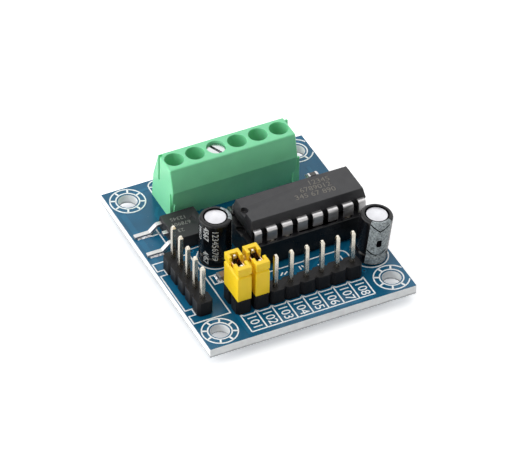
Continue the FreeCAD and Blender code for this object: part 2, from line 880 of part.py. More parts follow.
def chip_part(from_left, from_front, length, width, height):
    """A ceramic chip lying along X, as its body, its two plated ends and the solder outside them."""
    x = left_edge + from_left
    y = front_edge + from_front
    top = board_top + height
    body = centred_block(x, y, length - 2 * chip_part_end, width, board_top, top)
    ends = []
    beds = []
    for side in (-1, 1):
        end_x = x + side * (length - chip_part_end) / 2
        end = centred_block(end_x, y, chip_part_end, width, board_top, top)
        ends.append(end)
        beds.append(solder_bed(end_x, y, chip_part_end, width).cut([body, end]))
    return body, ends, beds


# Build

def build():
    """Builds every piece and writes it to its file."""
    save("terminal_housing", terminal_housing())
    contacts = []
    for way, x in enumerate(way_places, start=1):
        contact = terminal_contact(x)
        contacts.append(contact)
        save("terminal_screw_" + str(way), terminal_screw(x, screw_lifts.get(way, 0)))
        save("terminal_cage_" + str(way), terminal_cage(x))
        save("terminal_contact_" + str(way), contact)

    front_leads = chip_leads(-1)
    rear_leads = chip_leads(1)
    save("chip_package", chip_package(front_leads + rear_leads))
    save("chip_leads_front", front_leads)
    save("chip_leads_rear", rear_leads)
    save("socket_body", socket_body())
    front_contacts = socket_contacts(-1)
    rear_contacts = socket_contacts(1)
    save("socket_contacts_front", front_contacts)
    save("socket_contacts_rear", rear_contacts)

    wires = capacitor("left_capacitor", left_capacitor, left_capacitor_lift, left_capacitor_lean)
    wires += capacitor("right_capacitor", right_capacitor, right_capacitor_lift, right_capacitor_lean)

    tab = regulator_tab()
    feet = [regulator_lead(side) for side in (-1, 1)]
    save("regulator_package", regulator_package([tab] + feet))
    save("regulator_tab", tab)
    save("regulator_leads", feet)

    pins = header("motor_header", motor_pins)
    pins += header("control_header", control_pins)
    pins += header("left_enable", left_enable_pins)
    pins += header("right_enable", right_enable_pins)
    jumper_y = control_y + header_pitch / 2
    for name, x in (("left_jumper", left_enable_x), ("right_jumper", right_enable_x)):
        save(name + "_cap", jumper_cap(x, jumper_y))
        save(name + "_clip", jumper_clip(x, jumper_y))

    front = chip_part(front_chip_from_left, front_chip_from_front, front_chip_length, front_chip_width,
                      front_chip_height)
    rear = chip_part(rear_chip_from_left, rear_chip_from_front, rear_chip_length, rear_chip_width,
                     rear_chip_height)
    edge = chip_part(edge_chip_from_left, edge_chip_from_front, edge_chip_length, edge_chip_width,
                     edge_chip_height)
    save("front_chip", front[0])
    save("rear_chip", rear[0])
    save("edge_chip", edge[0])
    save("chip_ends", front[1] + rear[1] + edge[1])
    beds = front[2] + rear[2] + edge[2]

    foot_length = regulator_lead_reach - regulator_length / 2 - regulator_lead_flat - regulator_lead_drop
    foot_x = regulator_x - regulator_lead_reach + foot_length / 2
    for side, foot in ((-1, feet[0]), (1, feet[1])):
        foot_y = regulator_y + side * regulator_lead_spacing / 2
        bed_length = foot_length - 2 * foot_solder_margin
        bed = solder_bed(foot_x + foot_solder_margin, foot_y, bed_length, regulator_lead_width)
        beds.append(bed.cut(foot))
    save("surface_solder", beds)
    leads = contacts + front_contacts + rear_contacts + wires + pins
    save("circuit_board", circuit_board(leads))
    save("underside_solder", underside_solder(lead_places_and_radii(), leads))


build()
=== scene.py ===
"""Looks of the dc motor driver module: board, terminal, chip, capacitors, headers, jumpers and stage."""
import functools
import json
import math

import bmesh
import bpy
from bpy.props import FloatProperty, FloatVectorProperty, IntProperty, PointerProperty
from bpy.types import Operator, Panel, PropertyGroup
from mathutils import Matrix, Vector


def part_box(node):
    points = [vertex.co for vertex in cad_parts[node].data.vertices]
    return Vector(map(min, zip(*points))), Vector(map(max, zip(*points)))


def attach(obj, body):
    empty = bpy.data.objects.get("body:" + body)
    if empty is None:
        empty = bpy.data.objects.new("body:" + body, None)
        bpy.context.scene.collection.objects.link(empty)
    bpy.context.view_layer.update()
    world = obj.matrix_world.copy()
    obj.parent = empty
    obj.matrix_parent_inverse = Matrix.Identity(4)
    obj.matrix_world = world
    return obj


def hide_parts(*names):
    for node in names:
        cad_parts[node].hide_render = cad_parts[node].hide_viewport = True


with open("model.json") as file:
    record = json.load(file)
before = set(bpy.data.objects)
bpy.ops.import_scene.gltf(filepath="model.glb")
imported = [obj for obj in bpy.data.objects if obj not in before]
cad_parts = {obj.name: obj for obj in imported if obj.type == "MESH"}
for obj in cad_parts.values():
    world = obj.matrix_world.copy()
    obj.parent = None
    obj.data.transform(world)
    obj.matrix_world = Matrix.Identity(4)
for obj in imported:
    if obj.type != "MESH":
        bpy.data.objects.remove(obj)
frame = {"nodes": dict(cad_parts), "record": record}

bl_info = {
    "name": "Motor driver module",
    "version": (1, 0, 0),
    "blender": (4, 5, 0),
    "location": "3D View > Sidebar > Driver module",
    "description": "Dresses the packed motor driver module with its finishes, print and small parts",
    "category": "Object",
}

# Lengths in the properties and in the outlines are millimetres, and the frame is in metres.
# Plan points are measured from the board's left and front edges.
MM = 0.001
RECORD = frame["record"]
SLOT_OF = {part["node"]: part["material_slot"] for part in RECORD["subparts"]}
BODY_OF = {node: body for body, nodes in RECORD["behaviour"]["bodies"].items() for node in nodes}
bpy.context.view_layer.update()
BOARD_LOW, BOARD_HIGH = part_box("circuit_board")
ROOT = BODY_OF["circuit_board"]

# Bevel widths, in millimetres
CLIP_EDGE = 0.02
FINE_EDGE = 0.04
METAL_EDGE = 0.05
PACKAGE_EDGE = 0.06
LEAD_EDGE = 0.06
STRIP_EDGE = 0.07
SOLDER_EDGE = 0.08

# Edges sharper than these angles stay sharp, in degrees
SHARP = 35.0
SHARP_ON_BENDS = 50.0
BEVEL_ANGLE = 30.0
HOUSING_BEVEL_ANGLE = 14.0

# How mesh vertices are joined and flat faces made whole
WELD_DISTANCE = 0.0005 * MM
FLAT_ANGLE = math.radians(0.5)
ZERO = 1e-6


# Properties

def length(name, description, default, low, high):
    """A length property in millimetres."""
    return FloatProperty(name=name, description=description + ", in millimetres", default=default, min=low,
                         max=high, precision=3, unit="NONE")


def power(name, description, default):
    """A lamp's power, in watts."""
    return FloatProperty(name=name, description=description, default=default, min=0.0, unit="POWER")


def steps(name, description, default, low, high):
    """A count of facets."""
    return IntProperty(name=name, description=description, default=default, min=low, max=high)


def colour(name, description, default):
    """A colour property."""
    return FloatVectorProperty(name=name, description=description, default=default, size=3,
                               min=0.0, max=1.0, subtype="COLOR")


class BoardLooks(PropertyGroup):
    mask: colour("Solder mask", "Colour of the lacquer over the laminate", (0.003, 0.100, 0.200))
    pour: colour("Mask over copper", "Colour of the lacquer over the copper", (0.005, 0.125, 0.242))
    laminate: colour("Laminate", "Colour of the sawn edges and the hole walls", (0.83, 0.85, 0.86))
    ink: colour("Print", "Colour of the printed lines and numbers", (0.90, 0.93, 0.94))
    line_width: length("Print line", "Width of the printed lines", 0.21, 0.05, 0.5)
    print_height: length("Print height", "Thickness of the printed ink", 0.015, 0.005, 0.05)
    copper_height: length("Copper height", "Step of the lacquer over the copper", 0.03, 0.01, 0.07)
    number_size: length("Number size", "Size of the numbers in the label boxes", 2.1, 0.5, 3.0)
    number_weight: length("Number weight", "How much the numbers' strokes are thickened", 0.0, 0.0, 0.2)


class TerminalLooks(PropertyGroup):
    plastic: colour("Block", "Colour of the moulded block", (0.225, 0.70, 0.385))
    steel: colour("Screws", "Colour of the plated screws", (0.44, 0.46, 0.47))
    edge: length("Block edge", "Rounding of the block's edges", 0.10, 0.0, 0.3)
    screw_edge: length("Screw edge", "Rounding of the screws' edges", 0.07, 0.0, 0.2)


class ChipLooks(PropertyGroup):
    moulding: colour("Package", "Colour of the moulded package", (0.008, 0.008, 0.010))
    ink: colour("Package print", "Colour of the print on the package", (0.17, 0.16, 0.14))
    ink_size: length("Print size", "Size of the numbers on the package", 1.45, 0.5, 3.0)
    tin: colour("Leads", "Colour of the tinned leads", (0.44, 0.43, 0.43))
    socket: colour("Socket", "Colour of the socket's plastic", (0.005, 0.005, 0.006))
    bend_steps: steps("Bend steps", "Facets in the bend of each lead", 12, 3, 32)


class CapacitorLooks(PropertyGroup):
    sleeve: colour("Sleeve", "Colour of the shrunk sleeve", (0.004, 0.004, 0.005))
    stripe: colour("Stripe", "Colour of the polarity stripe", (0.29, 0.325, 0.335))
    ink: colour("Sleeve print", "Colour of the numbers on the sleeve", (0.52, 0.54, 0.55))
    aluminium: colour("Can", "Colour of the bare can top", (0.47, 0.47, 0.49))
    sides: steps("Sides", "Facets round each capacitor", 96, 24, 192)


class RegulatorLooks(PropertyGroup):
    moulding: colour("Package", "Colour of the moulded package", (0.016, 0.017, 0.018))
    ink: colour("Package print", "Colour of the print on the package", (0.22, 0.23, 0.21))
    ink_size: length("Print size", "Size of the numbers on the package", 1.05, 0.5, 3.0)
    bend: length("Lead bend", "Radius of the bends of the leads", 0.5, 0.3, 0.8)


class HeaderLooks(PropertyGroup):
    plastic: colour("Strip", "Colour of the plastic strips", (0.004, 0.004, 0.005))
    plating: colour("Pins", "Colour of the plated pins", (0.60, 0.56, 0.48))


class JumperLooks(PropertyGroup):
    plastic: colour("Caps", "Colour of the jumper caps", (0.94, 0.64, 0.014))
    edge: length("Cap edge", "Rounding of the caps' edges", 0.14, 0.0, 0.4)


class StageLooks(PropertyGroup):
    back_light: power("Back light", "Power of the softbox behind", 6.0)
    left_light: power("Left light", "Power of the softbox on the left", 12.0)
    top_light: power("Top light", "Power of the softbox overhead", 2.5)
    front_light: power("Front light", "Power of the low softbox in front", 0.65)
    sky: FloatProperty(name="Ambient", description="Strength of the even light from all round",
                       default=0.10, min=0.0, max=1.0, subtype="FACTOR")


# Meshes

def place(from_left, from_front, height=0.0):
    """A point over the board, from millimetres off its left and front edges and its top."""
    return Vector((BOARD_LOW.x + from_left * MM, BOARD_LOW.y + from_front * MM, BOARD_HIGH.z + height * MM))


def finish_piece(name, shape, material, body, slot, sharp=SHARP):
    """Makes a piece from a bmesh, smooth but for its sharp edges, and sets it on its body."""
    mesh = bpy.data.meshes.new(name)
    bmesh.ops.recalc_face_normals(shape, faces=shape.faces)
    shape.to_mesh(mesh)
    shape.free()
    mesh.materials.append(material)
    mesh.shade_smooth()
    mesh.set_sharp_from_angle(angle=math.radians(sharp))
    piece = bpy.data.objects.new(name, mesh)
    bpy.context.scene.collection.objects.link(piece)
    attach(piece, body)
    return piece


def finish_on_board(name, shape, material, slot, sharp=SHARP):
    """Makes a piece that rides on the board's body."""
    return finish_piece(name, shape, material, ROOT, slot, sharp)


def finish_for_node(node, shape, material, sharp=SHARP):
    """Makes a piece that stands in for a node, on the node's body."""
    piece = finish_piece(node + "_piece", shape, material, BODY_OF[node], SLOT_OF[node], sharp)
    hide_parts(node)
    return piece


def soften(piece, width, segments=2, angle=BEVEL_ANGLE):
    """Rounds a piece's edges by a width in millimetres."""
    bevel = piece.modifiers.new("Rounded edges", "BEVEL")
    bevel.width = width * MM
    bevel.segments = segments
    bevel.limit_method = "ANGLE"
    bevel.angle_limit = math.radians(angle)
    bevel.miter_outer = "MITER_ARC"
    bevel.use_clamp_overlap = True
    bevel.harden_normals = True


def dressed(node, material, width, segments=2, angle=BEVEL_ANGLE, turn=0.0):
    """A piece with the node's shape, turned about its own axis, with whole flat faces and rounded edges."""
    shape = bmesh.new()
    shape.from_mesh(frame["nodes"][node].data)
    low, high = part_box(node)
    bmesh.ops.rotate(shape, verts=shape.verts, cent=(low + high) / 2,
                     matrix=Matrix.Rotation(math.radians(turn), 3, "Z"))
    bmesh.ops.remove_doubles(shape, verts=shape.verts, dist=WELD_DISTANCE)
    bmesh.ops.dissolve_limit(shape, angle_limit=FLAT_ANGLE, verts=shape.verts, edges=shape.edges)
    piece = finish_for_node(node, shape, material, angle + SHARP - BEVEL_ANGLE)
    if width > 0:
        soften(piece, width, segments, angle)


def island_boxes(node):
    """The low and high corners of each separate island of a node's mesh."""
    shape = bmesh.new()
    shape.from_mesh(frame["nodes"][node].data)
    bmesh.ops.remove_doubles(shape, verts=shape.verts, dist=WELD_DISTANCE)
    waiting = dict.fromkeys(shape.verts)
    boxes = []
    while waiting:
        reached = [waiting.popitem()[0]]
        for vert in reached:
            for edge in vert.link_edges:
                other = edge.other_vert(vert)
                if other in waiting:
                    waiting.pop(other)
                    reached.append(other)
        spans = [[vert.co[axis] for vert in reached] for axis in range(3)]
        boxes.append((Vector([min(span) for span in spans]), Vector([max(span) for span in spans])))
    shape.free()
    return boxes


def painted(node, material):
    """Gives a node that keeps its own mesh a better material."""
    for holder in frame["nodes"][node].material_slots:
        holder.material = material


def add_prism(shape, outline, along):
    """Adds a closed outline of points, drawn out by a vector."""
    low = [shape.verts.new(point) for point in outline]
    high = [shape.verts.new(Vector(point) + Vector(along)) for point in outline]
    shape.faces.new(low[::-1])
    shape.faces.new(high)
    for k in range(len(low)):
        n = (k + 1) % len(low)
        shape.faces.new([low[k], low[n], high[n], high[k]])


def add_lathe(shape, profile, sides, matrix):
    """Adds a solid of revolution from radius, height pairs in millimetres, closed on its axis or a ring."""
    ring = profile[0][0] > ZERO and profile[-1][0] > ZERO
    rows = []
    for radius, height in profile:
        if radius < ZERO:
            rows.append([shape.verts.new((0, 0, height * MM))])
            continue
        turns = [2 * math.pi * k / sides for k in range(sides)]
        rows.append([shape.verts.new((radius * MM * math.cos(t), radius * MM * math.sin(t), height * MM))
                     for t in turns])
    pairs = list(zip(rows, rows[1:])) + ([(rows[-1], rows[0])] if ring else [])
    for low, high in pairs:
        for k in range(sides):
            n = (k + 1) % sides
            if len(low) == 1:
                shape.faces.new([low[0], high[n], high[k]])
            elif len(high) == 1:
                shape.faces.new([low[k], low[n], high[0]])
            else:
                shape.faces.new([low[k], low[n], high[n], high[k]])
    bmesh.ops.transform(shape, matrix=matrix, verts=[vert for row in rows for vert in row])


# The least share of a ribbon's width that a mitre keeps
SHARPEST_MITRE = 0.35

# Printed digits: how finely they are curved, and in millimetres how finely they are cut and how thick
FONT_STEPS = 3
DIGIT_SLICE = 0.15
DIGIT_THICKNESS = 0.012


def add_ribbon(shape, points, width, height, base=0.0, closed=False, spot=place):
    """Adds a printed line with mitred corners along points of a surface, where spot gives their places."""
    count = len(points)
    flat = [Vector((x, y)) for x, y in points]
    lefts = []
    rights = []
    for k, point in enumerate(flat):
        before = flat[k - 1] if closed or k else None
        after = flat[(k + 1) % count] if closed or k < count - 1 else None
        into = (point - before).normalized() if before is not None else (after - point).normalized()
        out = (after - point).normalized() if after is not None else into
        bisector = (into + out).normalized() if (into + out).length > ZERO else into
        normal = Vector((-bisector.y, bisector.x))
        stretch = 1 / max(SHARPEST_MITRE, normal.dot(Vector((-into.y, into.x))))
        lefts.append(point + normal * width / 2 * stretch)
        rights.append(point - normal * width / 2 * stretch)
    rows = []
    top = base + height
    for left, right in zip(lefts, rights):
        ends = ((left, base), (right, base), (right, top), (left, top))
        rows.append([shape.verts.new(spot(end.x, end.y, lift)) for end, lift in ends])
    last = count if closed else count - 1
    for k in range(last):
        low, high = rows[k], rows[(k + 1) % count]
        for side in range(4):
            n = (side + 1) % 4
            shape.faces.new([low[side], low[n], high[n], high[side]])
    if not closed:
        shape.faces.new(rows[0][::-1])
        shape.faces.new(rows[-1])


def number_mesh(words, size, thickness, weight):
    """A mesh of plain digits, sizes in millimetres, centred on its origin in the XY plane."""
    curve = bpy.data.curves.new("digits", "FONT")
    curve.body = words
    curve.size = size * MM
    curve.extrude = thickness * MM / 2
    curve.offset = weight * MM
    curve.align_x = "CENTER"
    curve.align_y = "CENTER"
    curve.resolution_u = FONT_STEPS
    maker = bpy.data.objects.new("digits", curve)
    bpy.context.scene.collection.objects.link(maker)
    graph = bpy.context.evaluated_depsgraph_get()
    mesh = bpy.data.meshes.new_from_object(maker.evaluated_get(graph))
    bpy.data.objects.remove(maker)
    bpy.data.curves.remove(curve)
    return mesh


def sliced(mesh, reach, pitch):
    """Cuts a mesh across its height into slices, so that it can follow a round surface."""
    shape = bmesh.new()
    shape.from_mesh(mesh)
    count = math.ceil(reach / pitch)
    for k in range(-count, count + 1):
        everything = shape.verts[:] + shape.edges[:] + shape.faces[:]
        bmesh.ops.bisect_plane(shape, geom=everything, plane_co=(0, k * pitch * MM, 0), plane_no=(0, 1, 0))
    shape.to_mesh(mesh)
    shape.free()


def add_number(shape, words, size, x, y, base, turn, weight=0.0, thickness=DIGIT_THICKNESS, spot=place):
    """Adds plain digits on a surface, centred at x, y and turned, where spot gives their places."""
    mesh = number_mesh(words, size, thickness, weight)
    if spot is not place:
        sliced(mesh, size / 2, DIGIT_SLICE)
    swing = Matrix.Rotation(math.radians(turn), 4, "Z")
    for vert in mesh.vertices:
        flat = swing @ vert.co / MM
        vert.co = spot(x + flat.x, y + flat.y, base + thickness / 2 + flat.z)
    shape.from_mesh(mesh)
    bpy.data.meshes.remove(mesh)


def rounded_path(corners, radius, facets):
    """Plane points along straight runs that are joined by arcs of one radius."""
    path = [Vector(corners[0])]
    for before, corner, after in zip(corners, corners[1:], corners[2:]):
        corner = Vector(corner)
        into = (corner - Vector(before)).normalized()
        out = (Vector(after) - corner).normalized()
        angle = into.angle(out)
        centre = corner + (out - into).normalized() * radius / math.cos(angle / 2)
        first = corner - into * radius * math.tan(angle / 2) - centre
        last = corner + out * radius * math.tan(angle / 2) - centre
        for k in range(facets + 1):
            part = k / facets
            swing = first * math.sin((1 - part) * angle) + last * math.sin(part * angle)
            path.append(centre + swing / math.sin(angle))
    path.append(Vector(corners[-1]))
    return path


def sheet_outline(path, thickness):
    """The closed outline of a bent sheet's edge, on both sides of its middle line."""
    outer = []
    inner = []
    for k, point in enumerate(path):
        along = (path[min(k + 1, len(path) - 1)] - path[max(k - 1, 0)]).normalized()
        across = Vector((-along.y, along.x)) * thickness / 2
        outer.append(point + across)
        inner.append(point - across)
    return outer + inner[::-1]


def arc(x, y, radius, start, stop, facets):
    """Plan points on an arc, angles in degrees."""
    turns = [math.radians(start + (stop - start) * k / facets) for k in range(facets + 1)]
    return [(x + radius * math.cos(turn), y + radius * math.sin(turn)) for turn in turns]


# Shared shader groups. Each is made the first time it is asked for.

# The stretch of a noise's values that becomes the whole of an effect
BROAD_RANGE = (0.3, 0.7)
FINE_RANGE = (0.35, 0.65)
BROKEN_RANGE = (0.35, 0.6)

# How much coarser the patches of a grain are, and how even the painted edge highlight is
PATCH_SCALE = 0.12
HIGHLIGHT_BREAK_SCALE = 2500.0
HIGHLIGHT_LEAST = 0.2
HIGHLIGHT_SAMPLES = 4
HIGHLIGHT_REACH = 0.1 * MM
HIGHLIGHT_TURN = (0.80, 0.985)


def feed(tree, socket, value):
    """Links a socket to an output, or gives it a number, a colour or a vector."""
    if isinstance(value, bpy.types.NodeSocket):
        tree.links.new(value, socket)
    elif socket.type == "RGBA":
        socket.default_value = (*value[:3], 1.0)
    else:
        socket.default_value = value


def new_group(name, inputs, outputs):
    """A shader node group with its sockets and its input and output nodes."""
    tree = bpy.data.node_groups.new(name, "ShaderNodeTree")
    for way, sockets in (("INPUT", inputs), ("OUTPUT", outputs)):
        for label, kind in sockets.items():
            tree.interface.new_socket(name=label, in_out=way, socket_type="NodeSocket" + kind)
    return tree, tree.nodes.new("NodeGroupInput"), tree.nodes.new("NodeGroupOutput")


def math_node(tree, operation, first, second):
    """A math node with two inputs, each a socket or a number."""
    node = tree.nodes.new("ShaderNodeMath")
    node.operation = operation
    feed(tree, node.inputs[0], first)
    feed(tree, node.inputs[1], second)
    return node.outputs[0]


def ranged(tree, value, low, high, to_low, to_high):
    """A map range node; the ends are numbers or sockets."""
    node = tree.nodes.new("ShaderNodeMapRange")
    ends = {"Value": value, "From Min": low, "From Max": high, "To Min": to_low, "To Max": to_high}
    for label, end in ends.items():
        feed(tree, node.inputs[label], end)
    return node.outputs[0]


def noise(tree, scale, detail=3.0, vector=None):
    """A noise texture in the row frame; the scale is a number or a socket, per metre."""
    node = tree.nodes.new("ShaderNodeTexNoise")
    node.inputs["Detail"].default_value = detail
    feed(tree, node.inputs["Scale"], scale)
    if vector is None:
        vector = tree.nodes.new("ShaderNodeTexCoord").outputs["Object"]
    tree.links.new(vector, node.inputs["Vector"])
    return node.outputs[0]


# Where a mix node keeps its factor and its two colours, and its mixed colour
MIX_INPUTS = (0, 6, 7)
MIX_OUTPUT = 2


def mixed(tree, blend, factor, first, second):
    """A colour mix node; each input is a socket or a value."""
    node = tree.nodes.new("ShaderNodeMix")
    node.data_type = "RGBA"
    node.blend_type = blend
    for index, value in zip(MIX_INPUTS, (factor, first, second)):
        feed(tree, node.inputs[index], value)
    return node.outputs[MIX_OUTPUT]


@functools.cache
def tone_group():
    """Colour that drifts a little lighter and darker over the surface."""
    tree, start, end = new_group("Tone drift", {"Colour": "Color", "Amount": "Float", "Scale": "Float"},
                                 {"Colour": "Color"})
    broad = noise(tree, start.outputs["Scale"])
    low = math_node(tree, "SUBTRACT", 1.0, start.outputs["Amount"])
    high = math_node(tree, "ADD", 1.0, start.outputs["Amount"])
    level = ranged(tree, broad, *BROAD_RANGE, low, high)
    tree.links.new(mixed(tree, "MULTIPLY", 1.0, start.outputs["Colour"], level), end.inputs["Colour"])
    return tree


@functools.cache
def grain_group():
    """Fine moulded or cast grain, as a roughness and a height."""
    tree, start, end = new_group("Surface grain", {"Scale": "Float", "Smooth": "Float", "Rough": "Float"},
                                 {"Roughness": "Float", "Height": "Float"})
    fine = noise(tree, start.outputs["Scale"], detail=4.0)
    patches = noise(tree, math_node(tree, "MULTIPLY", start.outputs["Scale"], PATCH_SCALE), detail=2.0)
    halves = [math_node(tree, "MULTIPLY", part, 0.5) for part in (fine, patches)]
    both = math_node(tree, "ADD", *halves)
    rough = ranged(tree, both, *FINE_RANGE, start.outputs["Smooth"], start.outputs["Rough"])
    tree.links.new(rough, end.inputs["Roughness"])
    tree.links.new(fine, end.inputs["Height"])
    return tree


@functools.cache
def drawn_group():
    """Fine drawn lines along one axis, as a mask and a height."""
    tree, start, end = new_group("Drawn lines", {"Stretch": "Vector", "Scale": "Float"},
                                 {"Mask": "Float", "Height": "Float"})
    scaled = tree.nodes.new("ShaderNodeVectorMath")
    scaled.operation = "MULTIPLY"
    tree.links.new(tree.nodes.new("ShaderNodeTexCoord").outputs["Object"], scaled.inputs[0])
    tree.links.new(start.outputs["Stretch"], scaled.inputs[1])
    lines = noise(tree, start.outputs["Scale"], vector=scaled.outputs[0])
    tree.links.new(ranged(tree, lines, *FINE_RANGE, 0.0, 1.0), end.inputs["Mask"])
    tree.links.new(lines, end.inputs["Height"])
    return tree


@functools.cache
def edge_highlight_group():
    """Painted highlight: colour that turns to a paler tone along the outer edges, broken up by noise."""
    tree, start, end = new_group("Edge wear", {"Colour": "Color", "Worn": "Color", "Amount": "Float"},
                                 {"Colour": "Color"})
    rounded = tree.nodes.new("ShaderNodeBevel")
    rounded.samples = HIGHLIGHT_SAMPLES
    rounded.inputs["Radius"].default_value = HIGHLIGHT_REACH
    turned = tree.nodes.new("ShaderNodeVectorMath")
    turned.operation = "DOT_PRODUCT"
    tree.links.new(rounded.outputs[0], turned.inputs[0])
    tree.links.new(tree.nodes.new("ShaderNodeNewGeometry").outputs["Normal"], turned.inputs[1])
    edge = ranged(tree, turned.outputs["Value"], *HIGHLIGHT_TURN, 1.0, 0.0)
    broken = ranged(tree, noise(tree, HIGHLIGHT_BREAK_SCALE), *BROKEN_RANGE, HIGHLIGHT_LEAST, 1.0)
    mask = math_node(tree, "MULTIPLY", math_node(tree, "MULTIPLY", edge, broken), start.outputs["Amount"])
    shown = mixed(tree, "MIX", mask, start.outputs["Colour"], start.outputs["Worn"])
    tree.links.new(shown, end.inputs["Colour"])
    return tree


def placed_group(tree, maker, **values):
    """A shared group placed in a material, with its values; returns the node."""
    node = tree.nodes.new("ShaderNodeGroup")
    node.node_tree = maker()
    for label, value in values.items():
        feed(tree, node.inputs[label], value)
    return node


# Materials. Noise scales are per metre, and bump distances are in millimetres.

def start_material(name, **sockets):
    """A new material, its node tree and its shader, with constant values on the shader's sockets."""
    made = bpy.data.materials.new(name)
    made.use_nodes = True
    tree = made.node_tree
    shader = tree.nodes["Principled BSDF"]
    for label, value in sockets.items():
        feed(tree, shader.inputs[label.replace("_", " ")], value)
    return made, tree, shader


def add_bump(tree, shader, height, strength, distance):
    """A bump from a height, its distance in millimetres."""
    bump = tree.nodes.new("ShaderNodeBump")
    bump.inputs["Strength"].default_value = strength
    bump.inputs["Distance"].default_value = distance * MM
    tree.links.new(height, bump.inputs["Height"])
    tree.links.new(bump.outputs["Normal"], shader.inputs["Normal"])


def add_skin(tree, shader, tone, skin, strength, distance):
    """Links a tone, and a grain's roughness and height, to the shader."""
    tree.links.new(tone, shader.inputs["Base Color"])
    tree.links.new(skin.outputs["Roughness"], shader.inputs["Roughness"])
    add_bump(tree, shader, skin.outputs["Height"], strength, distance)


# How much paler than its own colour a plastic's painted edge highlight is, where none is given
HIGHLIGHT_GAIN = 1.5
HIGHLIGHT_LIFT = 0.02


def plastic(name, base, smooth, rough, grain=5000.0, bump=0.25, drift=0.06, edge_highlight=None, wear=0.3, **sockets):
    """Moulded plastic: drifting colour, fine grain and a painted highlight of paler colour along the edges.
    """
    made, tree, shader = start_material(name, **sockets)
    tone = placed_group(tree, tone_group, Colour=tuple(base), Amount=drift, Scale=350.0)
    pale = edge_highlight if edge_highlight is not None else [min(1.0, c * HIGHLIGHT_GAIN + HIGHLIGHT_LIFT) for c in base]
    # Painted highlight: the edges turn to the paler colour, as if they caught the light
    edge = placed_group(tree, edge_highlight_group, Colour=tone.outputs["Colour"], Worn=tuple(pale), Amount=wear)
    skin = placed_group(tree, grain_group, Scale=grain, Smooth=smooth, Rough=rough)
    add_skin(tree, shader, edge.outputs["Colour"], skin, strength=bump, distance=0.02)
    return made


# Which way the drawn lines of a metal run, as the noise's scale along each axis
LINES_ALONG_X = (0.15, 1.0, 1.0)
LINES_ALONG_Y = (1.0, 0.2, 1.0)
LINES_ALONG_Z = (1.0, 1.0, 0.2)
LINES_ALONG_PINS = (1.0, 1.0, 0.12)
LINES_EVEN = (1.0, 1.0, 1.0)
DULL_SHARE = 0.45


def metal(name, base, dull, stretch, smooth, rough, bump=0.2, drift=0.07):
    """Bare or plated metal with fine drawn lines and duller patches."""
    made, tree, shader = start_material(name, Metallic=1.0)
    tone = placed_group(tree, tone_group, Colour=tuple(base), Amount=drift, Scale=900.0)
    lines = placed_group(tree, drawn_group, Stretch=stretch, Scale=9000.0)
    part = math_node(tree, "MULTIPLY", lines.outputs["Mask"], DULL_SHARE)
    tree.links.new(mixed(tree, "MIX", part, tone.outputs["Colour"], dull), shader.inputs["Base Color"])
    tree.links.new(ranged(tree, lines.outputs["Mask"], 0.0, 1.0, smooth, rough), shader.inputs["Roughness"])
    add_bump(tree, shader, lines.outputs["Height"], strength=bump, distance=0.015)
    return made


@functools.cache
def tin():
    """The tinned leads' material, made the first time it is asked for."""
    return metal("tinned_leads", bpy.context.scene.module_chip.tin, (0.46, 0.46, 0.46), LINES_ALONG_X,
                 smooth=0.30, rough=0.48, bump=0.1)


# Lacquer and solder: how far the colour drifts, and the grain
LACQUER_LEVEL = 0.24
LACQUER_DRIFT = {"Amount": 0.14, "Scale": 260.0}
LACQUER_SKIN = {"Scale": 2500.0, "Smooth": 0.16, "Rough": 0.28}
SOLDER_DRIFT = {"Amount": 0.7, "Scale": 3000.0}
SOLDER_SKIN = {"Scale": 2600.0, "Smooth": 0.16, "Rough": 0.42}


def coat(name, base, drift, grain, strength, distance, **sockets):
    """A plain surface whose colour drifts over a grain."""
    made, tree, shader = start_material(name, **sockets)
    tone = placed_group(tree, tone_group, Colour=tuple(base), **drift)
    skin = placed_group(tree, grain_group, **grain)
    add_skin(tree, shader, tone.outputs["Colour"], skin, strength, distance)
    return made


def ink(name, base, rough=0.55, drift=0.12, scale=2500.0, level=0.15):
    """Printed ink, thin in places."""
    grain = {"Scale": 7000.0, "Smooth": rough - 0.1, "Rough": rough + 0.1}
    return coat(name, base, {"Amount": drift, "Scale": scale}, grain, strength=0.2, distance=0.01,
                Specular_IOR_Level=level)


def lacquer_material(name, base):
    """Glossy lacquer over the laminate's faint weave."""
    return coat(name, base, LACQUER_DRIFT, LACQUER_SKIN, strength=0.12, distance=0.02,
                Specular_IOR_Level=LACQUER_LEVEL)


# The sawn edge: how thick the lacquer's band is, how ragged the tear is, and where the dark
# torn layer fades in and out below the board's middle
LACQUER_BAND = 0.03 * MM
TEAR_REACH = 0.35 * MM
TEAR_TOP = (-0.42 * MM, -0.30 * MM)
TEAR_FOOT = (-0.62 * MM, -0.52 * MM)
TEAR_FAINTEST = 0.35
TEAR_SHARE = 0.75
TEAR_SHADE = (0.34, 0.34, 0.34)
SAWN_ROUGHNESS = (0.75, 0.75, 0.75)
WEAVE_SHARE = 0.15


